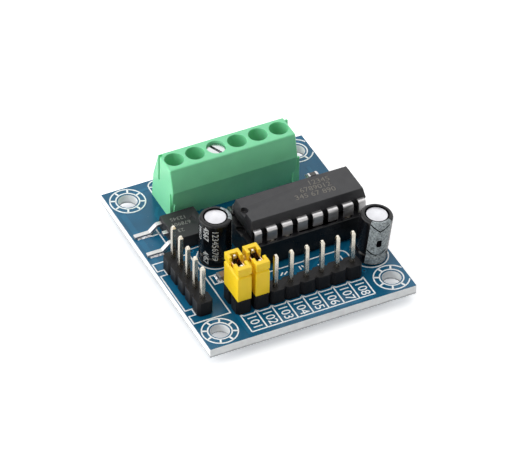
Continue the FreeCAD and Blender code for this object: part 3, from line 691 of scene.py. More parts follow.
def board_material(looks):
    """Blue lacquer on both faces and sawn pale laminate, rougher and darker low down, on the edges."""
    made, tree, shader = start_material("board_lacquer_and_laminate", Specular_IOR_Level=LACQUER_LEVEL)
    height = tree.nodes.new("ShaderNodeSeparateXYZ")
    coordinates = tree.nodes.new("ShaderNodeTexCoord").outputs["Object"]
    tree.links.new(coordinates, height.inputs[0])
    middle = (BOARD_LOW.z + BOARD_HIGH.z) / 2
    half = (BOARD_HIGH.z - BOARD_LOW.z) / 2
    level = math_node(tree, "SUBTRACT", height.outputs["Z"], middle)
    face = math_node(tree, "GREATER_THAN", math_node(tree, "ABSOLUTE", level, 0.0), half - LACQUER_BAND)
    lacquer = placed_group(tree, tone_group, Colour=tuple(looks.mask), **LACQUER_DRIFT)
    pale = placed_group(tree, tone_group, Colour=tuple(looks.laminate), Amount=0.06, Scale=900.0)
    fibres = placed_group(tree, drawn_group, Stretch=(0.25, 0.25, 1.0), Scale=5000.0)
    torn = math_node(tree, "ADD", level, math_node(tree, "MULTIPLY", fibres.outputs["Height"], TEAR_REACH))
    low = ranged(tree, torn, *TEAR_TOP, 1.0, 0.0)
    low = math_node(tree, "MULTIPLY", low, ranged(tree, torn, *TEAR_FOOT, TEAR_FAINTEST, 1.0))
    low = math_node(tree, "MULTIPLY", low, TEAR_SHARE)
    sawn = mixed(tree, "MIX", low, pale.outputs["Colour"], TEAR_SHADE)
    tree.links.new(mixed(tree, "MIX", face, sawn, lacquer.outputs["Colour"]), shader.inputs["Base Color"])
    skin = placed_group(tree, grain_group, **LACQUER_SKIN)
    rough = mixed(tree, "MIX", face, SAWN_ROUGHNESS, skin.outputs["Roughness"])
    tree.links.new(rough, shader.inputs["Roughness"])
    edge = math_node(tree, "SUBTRACT", 1.0, face)
    edge_height = math_node(tree, "MULTIPLY", fibres.outputs["Height"], edge)
    weave = math_node(tree, "MULTIPLY", skin.outputs["Height"], WEAVE_SHARE)
    add_bump(tree, shader, math_node(tree, "ADD", edge_height, weave), strength=0.5, distance=0.04)
    return made


# Board. Plan points and sizes are in millimetres.

BOARD_SLOT = "board_laminate"
BOARD_WIDTH = (BOARD_HIGH.x - BOARD_LOW.x) / MM
PRINT_MARGIN = 0.1
HOLES = [(3.05, 3.15), (31.45, 3.15), (3.05, 35.65), (31.45, 35.65)]
RING_RADII = (1.82, 2.72)
RING_FACETS = 72
SPOKE_COUNT = 8
SPOKE_START = 22.5
SPOKE_RADII = (1.88, 2.66)
SPOKE_WIDENING = 1.4
LABEL_LEFT = 7.27
LABEL_PITCH = 2.54
LABEL_COUNT = 8
LABEL_FRONT = 0.94
LABEL_BACK = 4.62
LABEL_CREST = 5.0
LABEL_CORNER = 0.45
LABEL_TURN = -90.0
FIRST_LABEL = 101
PRINT_OPEN = [
    [(6.68, 21.53), (8.39, 21.62)], [(4.2, 28.27), (4.2, 23.69)], [(2.95, 26.68), (4.34, 26.80)],
    [(7.26, 28.8), (7.26, 37.0), (7.36, 37.6), (7.70, 38.05), (8.15, 38.3), (8.7, 38.4), (27.9, 38.4),
     (27.9, 28.8)],
    [(7.40, 37.20), (8.3, 36.85)], [(8.05, 37.6), (8.6, 37.0)], [(13.4, 20.76), (13.4, 19.45)],
    [(26.65, 10.74), (26.65, 9.84)],
    [(13.4, 11.95), (26.3, 11.95)] + arc(26.6, 10.65, 1.3, 80, 0, 6) + [(27.9, 8.2)],
    [(16.6, 10.4), (17.2, 11.0)], [(17.2, 10.4), (17.9, 10.9)], [(20.0, 10.4), (20.0, 11.2)],
    [(20.4, 11.2), (20.7, 10.5)], [(22.7, 10.3), (23.1, 10.3)],
]
PRINT_CLOSED = [
    [(0.25, 20.7), (6.2, 20.7), (6.2, 6.15), (0.25, 6.15), (0.25, 7.9), (1.35, 7.9), (1.35, 9.25),
     (0.25, 9.25), (0.25, 17.8), (1.35, 17.8), (1.35, 18.95), (0.25, 18.95)],
    [(6.84, 12.8), (10.5, 12.8), (10.5, 14.75), (6.84, 14.75)],
    arc(9.5, 18.4, 2.75, 0, 354, 59),
    arc(30.8, 8.95, 2.75, 0, 354, 59),
]
VIAS = [(6.93, 21.1), (28.4, 6.2), (12.3, 14.2), (5.6, 22.4), (29.4, 15.2), (31.2, 19.0), (12.2, 25.8),
        (30.6, 24.2)]
VIA_SIDES = 24
VIA_RIM = [(0.18, 0.0), (0.38, 0.0), (0.36, 0.04), (0.2, 0.05)]
# Each via's hole is a flat dark disc of painted shade
VIA_HOLE_SHADE = [(0.0, 0.0), (0.2, 0.0), (0.17, 0.02), (0.0, 0.012)]
VIA_PALER = 1.6
# Each track's width, and the points that it runs through
TRACES = [
    (0.9, [(2.68, 8.39), (1.0, 10.1), (1.0, 33.0)]),
    (0.6, [(2.68, 10.93), (5.2, 13.4), (5.2, 22.0)]),
    (0.5, [(9.5, 16.4), (12.0, 14.2), (14.3, 14.09)]),
    (0.9, [(31.0, 11.5), (31.0, 20.0), (28.4, 23.0), (28.4, 27.0)]),
    (0.5, [(13.62, 6.3), (13.62, 9.0), (14.31, 9.7), (14.31, 14.09)]),
    (0.5, [(16.16, 6.3), (16.16, 8.6), (16.85, 9.3), (16.85, 14.09)]),
    (0.5, [(18.7, 6.3), (18.7, 8.6), (19.39, 9.3), (19.39, 14.09)]),
    (0.5, [(21.24, 6.3), (21.24, 9.4), (24.47, 12.6), (24.47, 14.09)]),
    (0.5, [(23.78, 6.3), (23.78, 8.2), (29.55, 13.0), (29.55, 14.09)]),
    (0.7, [(8.04, 6.3), (6.9, 5.2), (6.9, 1.0), (27.0, 0.55)]),
    (0.5, [(11.0, 8.84), (11.0, 11.6), (12.3, 14.2)]),
    (0.6, [(4.4, 36.9), (14.0, 37.6), (27.0, 37.6)]),
    (0.6, [(31.45, 31.5), (31.45, 26.0), (30.6, 24.2)]),
    (0.5, [(12.2, 25.8), (14.0, 24.5), (14.31, 21.71)]),
    (0.5, [(5.6, 22.4), (5.6, 31.0), (6.6, 32.5)]),
    (0.5, [(29.4, 15.2), (32.6, 17.8), (32.6, 26.0)]),
]


def ring_print(shape, x, y, width, height):
    """Two rings and eight spokes round a mounting hole, cut off at the board's edge."""
    limit = BOARD_WIDTH - PRINT_MARGIN
    for radius in RING_RADII:
        runs = [[]]
        for point in arc(x, y, radius, 0, 360, RING_FACETS):
            if PRINT_MARGIN < point[0] < limit:
                runs[-1].append(point)
            else:
                runs.append([])
        for run in runs:
            if len(run) > 1:
                add_ribbon(shape, run, width, height)
    for k in range(SPOKE_COUNT):
        turn = math.radians(SPOKE_START + 360 / SPOKE_COUNT * k)
        ends = [(x + r * math.cos(turn), y + r * math.sin(turn)) for r in SPOKE_RADII]
        if all(PRINT_MARGIN < point[0] < limit for point in ends):
            add_ribbon(shape, ends, width * SPOKE_WIDENING, height)


def label_print(shape, looks, height):
    """The row of label boxes along the front edge, scalloped behind, each with a plain number."""
    width = looks.line_width
    lines = [LABEL_LEFT + LABEL_PITCH * k for k in range(LABEL_COUNT + 1)]
    add_ribbon(shape, [(lines[0], LABEL_FRONT), (lines[-1], LABEL_FRONT)], width, height)
    for x in lines:
        add_ribbon(shape, [(x, LABEL_FRONT), (x, LABEL_CREST)], width, height)
    scallop = [(LABEL_LEFT, LABEL_CREST)]
    for k, x in enumerate(lines[:-1]):
        scallop += [(x + LABEL_CORNER, LABEL_BACK), (x + LABEL_PITCH - LABEL_CORNER, LABEL_BACK),
                    (x + LABEL_PITCH, LABEL_CREST)]
        add_number(shape, str(FIRST_LABEL + k), looks.number_size, x + LABEL_PITCH / 2,
                   (LABEL_FRONT + LABEL_BACK) / 2, 0.0, LABEL_TURN, looks.number_weight, height)
    add_ribbon(shape, scallop, width, height)


def dress_board(looks):
    """Board finish, lacquer over the copper, vias and all of the printed lines."""
    painted("circuit_board", board_material(looks))
    copper = bmesh.new()
    for trace_width, points in TRACES:
        add_ribbon(copper, points, trace_width, looks.copper_height)
    over = lacquer_material("lacquer_over_copper", looks.pour)
    finish_on_board("board_traces", copper, over, BOARD_SLOT)
    rims = bmesh.new()
    hole_shades = bmesh.new()
    for x, y in VIAS:
        middle = Matrix.Translation(place(x, y))
        add_lathe(rims, VIA_RIM, VIA_SIDES, middle)
        add_lathe(hole_shades, VIA_HOLE_SHADE, VIA_SIDES, middle)
    pale = lacquer_material("via_lacquer", [c * VIA_PALER for c in looks.pour])
    finish_on_board("via_rims", rims, pale, BOARD_SLOT)
    # The dark discs are painted shade in the vias' holes
    finish_on_board("via_holes", hole_shades, ink("via_shade", (0.02, 0.03, 0.05)), BOARD_SLOT)
    lines = bmesh.new()
    top = looks.copper_height + looks.print_height
    for points in PRINT_OPEN:
        add_ribbon(lines, points, looks.line_width, top)
    for points in PRINT_CLOSED:
        add_ribbon(lines, points, looks.line_width, top, closed=True)
    for x, y in HOLES:
        ring_print(lines, x, y, looks.line_width, top)
    label_print(lines, looks, top)
    finish_on_board("board_print", lines, ink("white_print", looks.ink), BOARD_SLOT)


# Terminal

WAYS = range(1, 7)
SCREW_TURNS = {3: 24.0}


def dress_terminal(looks):
    """The green block, its screws, cages and contacts."""
    green = plastic("green_moulding", looks.plastic, smooth=0.30, rough=0.42, grain=6000.0, bump=0.12,
                    drift=0.04, edge_highlight=(0.38, 0.86, 0.54), wear=0.5, Specular_IOR_Level=0.2,
                    Subsurface_Weight=0.25, Subsurface_Scale=0.5 * MM, Subsurface_Radius=(0.3, 1.0, 0.5))
    dressed("terminal_housing", green, looks.edge, segments=3, angle=HOUSING_BEVEL_ANGLE)
    steel = metal("plated_steel", looks.steel, (0.45, 0.45, 0.44), LINES_ALONG_Y, smooth=0.14, rough=0.32)
    cage = metal("cage_steel", (0.62, 0.62, 0.60), (0.40, 0.40, 0.39), LINES_ALONG_Z, smooth=0.2, rough=0.4)
    for way in WAYS:
        dressed("terminal_screw_%d" % way, steel, looks.screw_edge, turn=SCREW_TURNS.get(way, 0.0))
        dressed("terminal_cage_%d" % way, cage, METAL_EDGE)
        dressed("terminal_contact_%d" % way, tin(), METAL_EDGE)


# Chip and socket. Sizes are in millimetres, and turns in degrees.

LEAD_PITCH = 2.54
LEAD_COUNT = 8
LEAD_SHEET = 0.25
LEAD_BEND = 0.4
LEAD_ROOT = 0.3
LEAD_SHOULDER = 1.65
LEAD_END = 0.35
LEAD_BLADE = 0.46
CHIP_PRINT = [("12345", 27.1, 19.35), ("6789012", 26.0, 18.2), ("345 67 890", 25.4, 16.95)]
CHIP_PRINT_TURN = -3.5


def add_chip_lead(shape, x, side, left, right):
    """One lead: a wide sheet out of the package and down to the socket, and a pointed blade below."""
    package_low, package_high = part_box("chip_package")
    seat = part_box("socket_body")[1].z
    tips_low, tips_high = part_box("chip_leads_rear")
    sheet = LEAD_SHEET * MM
    middle_y = (package_low.y + package_high.y) / 2
    parting = (package_low.z + package_high.z) / 2
    row = middle_y + side * (tips_high.y - middle_y - sheet / 2)
    root = middle_y + side * ((package_high.y - package_low.y) / 2 - LEAD_ROOT * MM)
    path = rounded_path([(root, parting), (row, parting), (row, seat)], LEAD_BEND * MM,
                        bpy.context.scene.module_chip.bend_steps)
    outline = [Vector((x - left * MM, y, z)) for y, z in sheet_outline(path, sheet)]
    add_prism(shape, outline, ((left + right) * MM, 0, 0))
    half = LEAD_BLADE * MM / 2
    low = tips_low.z
    blade = [(x - half, seat), (x + half, seat), (x + half, low + 2 * half), (x + half / 2, low),
             (x - half / 2, low), (x - half, low + 2 * half)]
    add_prism(shape, [Vector((px, row - sheet / 2, z)) for px, z in blade], (0, sheet, 0))


def add_rows(name, rows, size, turn, base, material, slot):
    """Makes a piece of printed rows of digits on top of a package."""
    shape = bmesh.new()
    for words, x, y in rows:
        add_number(shape, words, size, x, y, base, turn)
    finish_on_board(name, shape, material, slot)


def dress_chip(looks):
    """The moulded chip with its print, smooth bent leads, and the socket under it."""
    body = plastic("chip_moulding_skin", looks.moulding, smooth=0.42, rough=0.56, grain=7000.0, bump=0.3,
                   drift=0.05, edge_highlight=(0.06, 0.06, 0.064), wear=0.5, Specular_IOR_Level=0.42)
    dressed("chip_package", body, PACKAGE_EDGE, segments=3)
    socket = plastic("socket_skin", looks.socket, smooth=0.25, rough=0.45, grain=6000.0, bump=0.2,
                     drift=0.05, edge_highlight=(0.10, 0.10, 0.105), wear=0.8, Specular_IOR_Level=0.3)
    dressed("socket_body", socket, PACKAGE_EDGE)
    low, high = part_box("chip_package")
    middle_x = (low.x + high.x) / 2
    last = LEAD_COUNT - 1
    for node, side in (("chip_leads_front", -1), ("chip_leads_rear", 1)):
        leads = bmesh.new()
        for k in range(LEAD_COUNT):
            x = middle_x + (k - last / 2) * LEAD_PITCH * MM
            left = LEAD_END if k == 0 else LEAD_SHOULDER / 2
            right = LEAD_END if k == last else LEAD_SHOULDER / 2
            add_chip_lead(leads, x, side, left, right)
        soften(finish_for_node(node, leads, tin(), SHARP_ON_BENDS), FINE_EDGE)
    contact = metal("contact_sheet", (0.78, 0.70, 0.52), (0.55, 0.48, 0.34), LINES_ALONG_Z,
                    smooth=0.2, rough=0.4)
    for node in ("socket_contacts_front", "socket_contacts_rear"):
        painted(node, contact)
    top = (high.z - BOARD_HIGH.z) / MM
    add_rows("chip_numbers", CHIP_PRINT, looks.ink_size, CHIP_PRINT_TURN, top,
             ink("chip_ink", looks.ink, 0.6), "chip_moulding")


# Capacitors. Sizes are in millimetres, heights from the board, and turns in degrees.

SLEEVE_SLOT = "sleeve_black"
SLEEVE_RADIUS = 2.5
SLEEVE_TOP = 8.0
BEAD_FOOT = 1.25
BEAD_HEIGHT = 0.9
BEAD_DEPTH = 0.24
SHOULDER_RADIUS = 0.42
SLEEVE_FACETS = 8
SLEEVE_RIM = [(1.88, 7.975), (1.70, 7.92), (1.64, 7.86)]
SLEEVE_INSIDE = [(2.2, 7.84), (2.2, 0.0)]
CAN_OUTLINE = [(0.0, 1.5), (1.9, 1.5), (1.9, 0.15), (2.2, 0.15), (2.2, 7.84), (1.80, 7.85), (1.70, 7.82),
               (1.62, 7.72), (1.54, 7.68), (0.0, 7.66)]
# The dark ring over the fold's inner slope: the sleeve's cut edge, and painted shade of the gap between the
# sleeve and the can
FOLD_EDGE_SHADE_RING = [(1.625, 7.86), (1.625, 7.90), (1.72, 7.945), (1.88, 7.99), (1.88, 7.96)]
LEAN_HEADING = math.radians(-26.6)
# Place from the left and front edges, lift off the board, lean, and where the stripe's middle is
CAPACITORS = {
    "left_capacitor": (9.5, 18.4, 0.1, 0.0, 2.0),
    "right_capacitor": (30.8, 8.95, 0.33, 5.7, -96.6),
}
STRIPE_HALF = 1.83
STRIPE_REACH = (0.08, 9.0)
STRIPE_LIFT = 0.012
BAND_COLUMNS = 28
BAND_ROWS = 60
# The chevrons of the stripe, from their tips, and the minus sign between them
CHEVRON_TIPS = (1.75, 6.65)
CHEVRON_ARMS = ((0.03 - STRIPE_HALF, 1.15), (-0.2, 0.0), (STRIPE_HALF - 0.5, 0.95))
CHEVRON_WIDTH = 0.2
CHEVRON_LIFT = 0.018
CHEVRON_FACETS = 10
MINUS_MIDDLE = (-0.08, 4.3)
MINUS_CORNERS = ((0.12, 0.38, 0), (-0.12, 0.38, 90), (-0.12, -0.38, 180), (0.12, -0.38, 270))
MINUS_ROUNDING = 0.27
MINUS_LIFT = 0.03
# The digits, their size, the angle round the sleeve, the height and the weight of each row
SLEEVE_PRINT = [("123456789", 1.35, -116.0, 4.3, 0.0), ("4567", 1.25, -150.0, 6.35, 0.03),
                ("4567", 1.25, -150.0, 1.75, 0.03), ("890123", 0.85, -178.0, 6.0, 0.01)]
SLEEVE_PRINT_LIFT = 0.02
SLEEVE_PRINT_TURN = -90.0


def sleeve_path():
    """The sleeve's outer line as radius, height pairs: over the bead, the shoulder and the rim."""
    path = [(SLEEVE_RADIUS, 0.0), (SLEEVE_RADIUS, BEAD_FOOT)]
    parts = [k / SLEEVE_FACETS for k in range(SLEEVE_FACETS + 1)]
    for part in parts:
        path.append((SLEEVE_RADIUS - BEAD_DEPTH * math.sin(math.pi * part) ** 2,
                     BEAD_FOOT + BEAD_HEIGHT * part))
    for part in parts:
        turn = math.radians(90 * part)
        path.append((SLEEVE_RADIUS - SHOULDER_RADIUS * (1 - math.cos(turn)),
                     SLEEVE_TOP - SHOULDER_RADIUS * (1 - math.sin(turn))))
    return path + SLEEVE_RIM


def girth(matrix, middle):
    """A spot function on a sleeve: x runs round it from an angle, and y up along its outer line."""
    path = [Vector(pair) for pair in sleeve_path()]
    lengths = [0.0]
    for low, high in zip(path, path[1:]):
        lengths.append(lengths[-1] + (high - low).length)

    def spot(x, y, lift):
        y = min(max(y, 0.0), lengths[-1] - ZERO)
        k = max(index for index, reached in enumerate(lengths[:-1]) if reached <= y)
        along = (path[k + 1] - path[k]).normalized()
        point = path[k] + along * (y - lengths[k]) + Vector((along.y, -along.x)) * lift
        turn = math.radians(middle) + x / path[0].x
        return matrix @ Vector((point.x * MM * math.cos(turn), point.x * MM * math.sin(turn), point.y * MM))
    return spot


def add_band(shape, spot, half, low, high, lift):
    """Adds a printed band on a sleeve, between two heights."""
    grid = []
    for row in range(BAND_ROWS + 1):
        y = low + (high - low) * row / BAND_ROWS
        across = [2 * half * k / BAND_COLUMNS - half for k in range(BAND_COLUMNS + 1)]
        grid.append([shape.verts.new(spot(x, y, lift)) for x in across])
    for row in range(BAND_ROWS):
        for k in range(BAND_COLUMNS):
            shape.faces.new([grid[row][k], grid[row][k + 1], grid[row + 1][k + 1], grid[row + 1][k]])


def add_patch(shape, spot, outline, lift):
    """Adds a small printed patch on a sleeve, as a fan round its middle."""
    middle_x = sum(x for x, y in outline) / len(outline)
    middle_y = sum(y for x, y in outline) / len(outline)
    centre = shape.verts.new(spot(middle_x, middle_y, lift))
    ring = [shape.verts.new(spot(x, y, lift)) for x, y in outline]
    for k in range(len(ring)):
        shape.faces.new([centre, ring[k], ring[(k + 1) % len(ring)]])


def finely(points, parts):
    """The same open line with each stretch divided evenly."""
    fine = [points[0]]
    for (x0, y0), (x1, y1) in zip(points, points[1:]):
        fine += [(x0 + (x1 - x0) * k / parts, y0 + (y1 - y0) * k / parts) for k in range(1, parts + 1)]
    return fine


def add_stripe_marks(shape, spot):
    """The stripe's chevrons and its minus sign."""
    for tip in CHEVRON_TIPS:
        arms = finely([(x, tip + rise) for x, rise in CHEVRON_ARMS], CHEVRON_FACETS)
        add_ribbon(shape, arms, CHEVRON_WIDTH, DIGIT_THICKNESS, CHEVRON_LIFT, spot=spot)
    minus = []
    for x, y, start in MINUS_CORNERS:
        corner = arc(x, y, MINUS_ROUNDING, start, start + 90, 4)
        minus += [(MINUS_MIDDLE[0] + dx, MINUS_MIDDLE[1] + dy) for dx, dy in corner]
    add_patch(shape, spot, minus, MINUS_LIFT)


def dress_capacitors(looks):
    """Sleeves folded over the rims, bare can tops, seals, leads, polarity stripes and plain numbers."""
    sleeve = plastic("sleeve_skin", looks.sleeve, smooth=0.16, rough=0.30, grain=3000.0, bump=0.12,
                     drift=0.05, edge_highlight=(0.10, 0.10, 0.105), wear=0.3, Specular_IOR_Level=0.24)
    can = metal("can_top", looks.aluminium, (0.42, 0.42, 0.44), LINES_EVEN, smooth=0.34, rough=0.48,
                bump=0.05)
    seal = plastic("seal_skin", (0.03, 0.03, 0.03), smooth=0.6, rough=0.8)
    stripe = ink("stripe_ink", looks.stripe, 0.42, 0.6, 3500.0)
    numbers = ink("sleeve_ink", looks.ink, 0.5)
    # Dark ink, for the stripe's marks and for the painted shade ring inside each fold
    dark = ink("stripe_mark_ink", (0.003, 0.003, 0.004), 0.6, level=0.0)
    for name, (x, y, lift, lean, stripe_middle) in CAPACITORS.items():
        axis = Vector((-math.sin(LEAN_HEADING), math.cos(LEAN_HEADING), 0))
        matrix = Matrix.Translation(place(x, y, lift)) @ Matrix.Rotation(math.radians(lean), 4, axis)
        shell, inside, edge, band, marks = [bmesh.new() for _ in range(5)]
        add_lathe(shell, sleeve_path() + SLEEVE_INSIDE, looks.sides, matrix)
        finish_for_node(name + "_sleeve", shell, sleeve, SHARP_ON_BENDS)
        add_lathe(inside, CAN_OUTLINE, looks.sides, matrix)
        finish_for_node(name + "_can", inside, can, SHARP_ON_BENDS)
        # A dark ring inside the fold: the cut edge, and painted shade of the gap round the can top
        add_lathe(edge, FOLD_EDGE_SHADE_RING, looks.sides, matrix)
        finish_on_board(name + "_sleeve_edge", edge, dark, SLEEVE_SLOT)
        painted(name + "_seal", seal)
        painted(name + "_leads", tin())
        spot = girth(matrix, stripe_middle)
        add_band(band, spot, STRIPE_HALF, *STRIPE_REACH, STRIPE_LIFT)
        finish_on_board(name + "_stripe", band, stripe, SLEEVE_SLOT)
        add_stripe_marks(marks, spot)
        finish_on_board(name + "_stripe_marks", marks, dark, SLEEVE_SLOT)
    left = bmesh.new()
    matrix = Matrix.Translation(place(*CAPACITORS["left_capacitor"][:3]))
    for words, size, angle, height, weight in SLEEVE_PRINT:
        add_number(left, words, size, 0.0, height, SLEEVE_PRINT_LIFT, SLEEVE_PRINT_TURN, weight,
                   spot=girth(matrix, angle))
    finish_on_board("left_capacitor_numbers", left, numbers, SLEEVE_SLOT)


# Regulator. Sizes are in millimetres, and turns in degrees.

REGULATOR_SHEET = 0.5
REGULATOR_LEAD = 0.75
# How far from the package's left side a lead starts inside it, bends down and reaches its foot
REGULATOR_INSIDE = 0.8
REGULATOR_DROP = 0.7
REGULATOR_FOOT = 1.9
REGULATOR_FACETS = 8
REGULATOR_PRINT = [("12345", 7.14, 26.45), ("678901", 7.05, 25.2), ("23", 6.4, 23.8)]
REGULATOR_PRINT_TURN = 175.0


def dress_regulator(looks):
    """The regulator's package with its print, its tab and its smoothly bent leads."""
    body = plastic("regulator_skin", looks.moulding, smooth=0.45, rough=0.6, grain=7000.0, bump=0.3,
                   drift=0.06, edge_highlight=(0.07, 0.07, 0.07), wear=0.5, Specular_IOR_Level=0.4)
    dressed("regulator_package", body, PACKAGE_EDGE)
    dressed("regulator_tab", tin(), METAL_EDGE)
    low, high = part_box("regulator_package")
    tips_low, tips_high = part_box("regulator_leads")
    sheet = REGULATOR_SHEET * MM
    width = REGULATOR_LEAD * MM
    exit_z = tips_high.z - sheet / 2
    foot_z = tips_low.z + sheet / 2
    corners = [(low.x + REGULATOR_INSIDE * MM, exit_z), (low.x - REGULATOR_DROP * MM, exit_z),
               (low.x - REGULATOR_FOOT * MM, foot_z), (tips_low.x, foot_z)]
    path = rounded_path(corners, looks.bend * MM, REGULATOR_FACETS)
    leads = bmesh.new()
    for y in (tips_low.y, tips_high.y - width):
        outline = [Vector((x, y, z)) for x, z in sheet_outline(path, sheet)]
        add_prism(leads, outline, (0, width, 0))
    soften(finish_for_node("regulator_leads", leads, tin(), SHARP_ON_BENDS), LEAD_EDGE)
    top = (high.z - BOARD_HIGH.z) / MM
    add_rows("regulator_numbers", REGULATOR_PRINT, looks.ink_size, REGULATOR_PRINT_TURN, top,
             ink("regulator_ink", looks.ink, 0.6), "regulator_moulding")


# Headers

HEADERS = ("motor_header", "control_header", "left_enable", "right_enable")


def dress_headers(looks):
    """The strips and pins of the four headers."""
    strip = plastic("header_skin", looks.plastic, smooth=0.35, rough=0.5, grain=6000.0, bump=0.2,
                    drift=0.06, edge_highlight=(0.05, 0.05, 0.053), wear=0.6, Specular_IOR_Level=0.17)
    pin = metal("pin_plating", looks.plating, (0.40, 0.37, 0.32), LINES_ALONG_PINS, smooth=0.14, rough=0.30)
    for name in HEADERS:
        dressed(name + "_base", strip, STRIP_EDGE)
        dressed(name + "_pins", pin, METAL_EDGE)


# Jumpers

def dress_jumpers(looks):
    """The yellow caps and their clips."""
    yellow = plastic("jumper_skin", looks.plastic, smooth=0.30, rough=0.44, grain=5000.0, bump=0.12,
                     drift=0.04, edge_highlight=(1.0, 0.78, 0.10), wear=0.4, Specular_IOR_Level=0.35,
                     Subsurface_Weight=0.25, Subsurface_Scale=0.4 * MM, Subsurface_Radius=(1.0, 0.6, 0.1))
    clip = metal("clip_sheet", (0.86, 0.62, 0.36), (0.62, 0.36, 0.16), LINES_ALONG_Y,
                 smooth=0.15, rough=0.3)
    for side in ("left", "right"):
        dressed(side + "_jumper_cap", yellow, looks.edge, segments=3)
        dressed(side + "_jumper_clip", clip, CLIP_EDGE)


# Chip parts and solder

# A fillet's foot as a share of its node's radius, its neck as a share of its foot, how hollow it is,
# and its facets
FILLET_FOOT = 0.98
FILLET_NECK = 0.5
FILLET_HOLLOW = 2.2
FILLET_STEPS = 8
FILLET_SIDES = 24


def add_fillet(shape, low, high):
    """Adds a hollow cone of solder between the corners of a box, wide at its top."""
    foot = (high.x - low.x) / 2 / MM * FILLET_FOOT
    neck = foot * FILLET_NECK
    height = (high.z - low.z) / MM
    parts = [k / FILLET_STEPS for k in range(FILLET_STEPS + 1)]
    hollow = [(neck + (foot - neck) * (1 - part) ** FILLET_HOLLOW, -height * part) for part in parts]
    middle = Vector(((low.x + high.x) / 2, (low.y + high.y) / 2, high.z))
    add_lathe(shape, [(0.0, 0.0)] + hollow + [(0.0, -height)], FILLET_SIDES, Matrix.Translation(middle))


def dress_chip_parts():
    """The ceramic chips with their plated ends, and all of the solder."""
    brown = plastic("ceramic_skin", (0.30, 0.20, 0.13), smooth=0.45, rough=0.6, bump=0.3)
    black = plastic("resistor_skin", (0.02, 0.02, 0.022), smooth=0.35, rough=0.5, bump=0.3)
    for node in ("front_chip", "rear_chip", "edge_chip"):
        dressed(node, brown if SLOT_OF[node] == "ceramic_brown" else black, FINE_EDGE)
    dressed("chip_ends", tin(), METAL_EDGE)
    solder = coat("solder_skin", (0.36, 0.36, 0.37), SOLDER_DRIFT, SOLDER_SKIN, strength=0.9, distance=0.09,
                  Metallic=1.0)
    dressed("surface_solder", solder, SOLDER_EDGE, segments=3)
    fillets = bmesh.new()
    for low, high in island_boxes("underside_solder"):
        add_fillet(fillets, low, high)
    finish_for_node("underside_solder", fillets, solder)


# Stage. Places are in metres.

# Each softbox: its size, and where it stands
SOFTBOXES = {
    "back": ((1.55, 1.35), (0.45, 0.50, 0.50)),
    "left": ((1.4, 1.1), (-0.75, 0.12, 0.26)),
    "top": ((1.1, 1.1), (0.05, -0.05, 0.76)),
    "front": ((1.0, 0.16), (0.15, -0.95, 0.09)),
}
FLOOR_HALF = 3.0
FLOOR_GLOW = 0.45

# The camera: where it looks, from how far, and its angles and lens
CAMERA_TARGET = Vector((0.69, 0.10, 3.10)) * MM
CAMERA_DISTANCE = 713.5 * MM
CAMERA_AZIMUTH = math.radians(-26.62)
CAMERA_ELEVATION = math.radians(40.81)
CAMERA_ROLL = math.radians(1.112)
CAMERA_LENS = 326.7
CAMERA_SENSOR = 36.0
CAMERA_NEAR = 0.01
CAMERA_FAR = 20.0


def add_softbox(name, watts, size, location):
    """A large soft lamp that looks at the frame's origin."""
    lamp = bpy.data.lights.new(name, "AREA")
    lamp.shape = "RECTANGLE"
    lamp.size = size[0]
    lamp.size_y = size[1]
    lamp.energy = watts
    holder = bpy.data.objects.new(name, lamp)
    holder.location = location
    holder.rotation_euler = (-Vector(location)).to_track_quat("-Z", "Y").to_euler()
    bpy.context.scene.collection.objects.link(holder)


def seen_rays(tree):
    """One for camera, glossy and transmission rays, and zero for the others."""
    path = tree.nodes.new("ShaderNodeLightPath")
    total = math_node(tree, "ADD", path.outputs["Is Camera Ray"], path.outputs["Is Glossy Ray"])
    total = math_node(tree, "ADD", total, path.outputs["Is Transmission Ray"])
    return math_node(tree, "MINIMUM", total, 1.0)


def make_floor():
    """A white floor that keeps a soft shadow."""
    mesh = bpy.data.meshes.new("floor")
    half = FLOOR_HALF
    corners = [(-half, -half, 0), (half, -half, 0), (half, half, 0), (-half, half, 0)]
    mesh.from_pydata(corners, [], [(0, 1, 2, 3)])
    floor = bpy.data.objects.new("floor", mesh)
    bpy.context.scene.collection.objects.link(floor)
    made, tree, shader = start_material("floor_white", Base_Color=(0.92, 0.92, 0.92), Roughness=0.9,
                                        Specular_IOR_Level=0.0, Emission_Color=(1.0, 1.0, 1.0))
    glow = math_node(tree, "MULTIPLY", seen_rays(tree), FLOOR_GLOW)
    tree.links.new(glow, shader.inputs["Emission Strength"])
    mesh.materials.append(made)


def make_world(strength):
    """An even white surround: plain light, and white where it is seen or mirrored."""
    world = bpy.data.worlds.new("surround")
    world.use_nodes = True
    tree = world.node_tree
    background = tree.nodes["Background"]
    background.inputs["Color"].default_value = (1.0, 1.0, 1.0, 1.0)
    level = ranged(tree, seen_rays(tree), 0.0, 1.0, strength, 1.0)
    tree.links.new(level, background.inputs["Strength"])
    bpy.context.scene.world = world


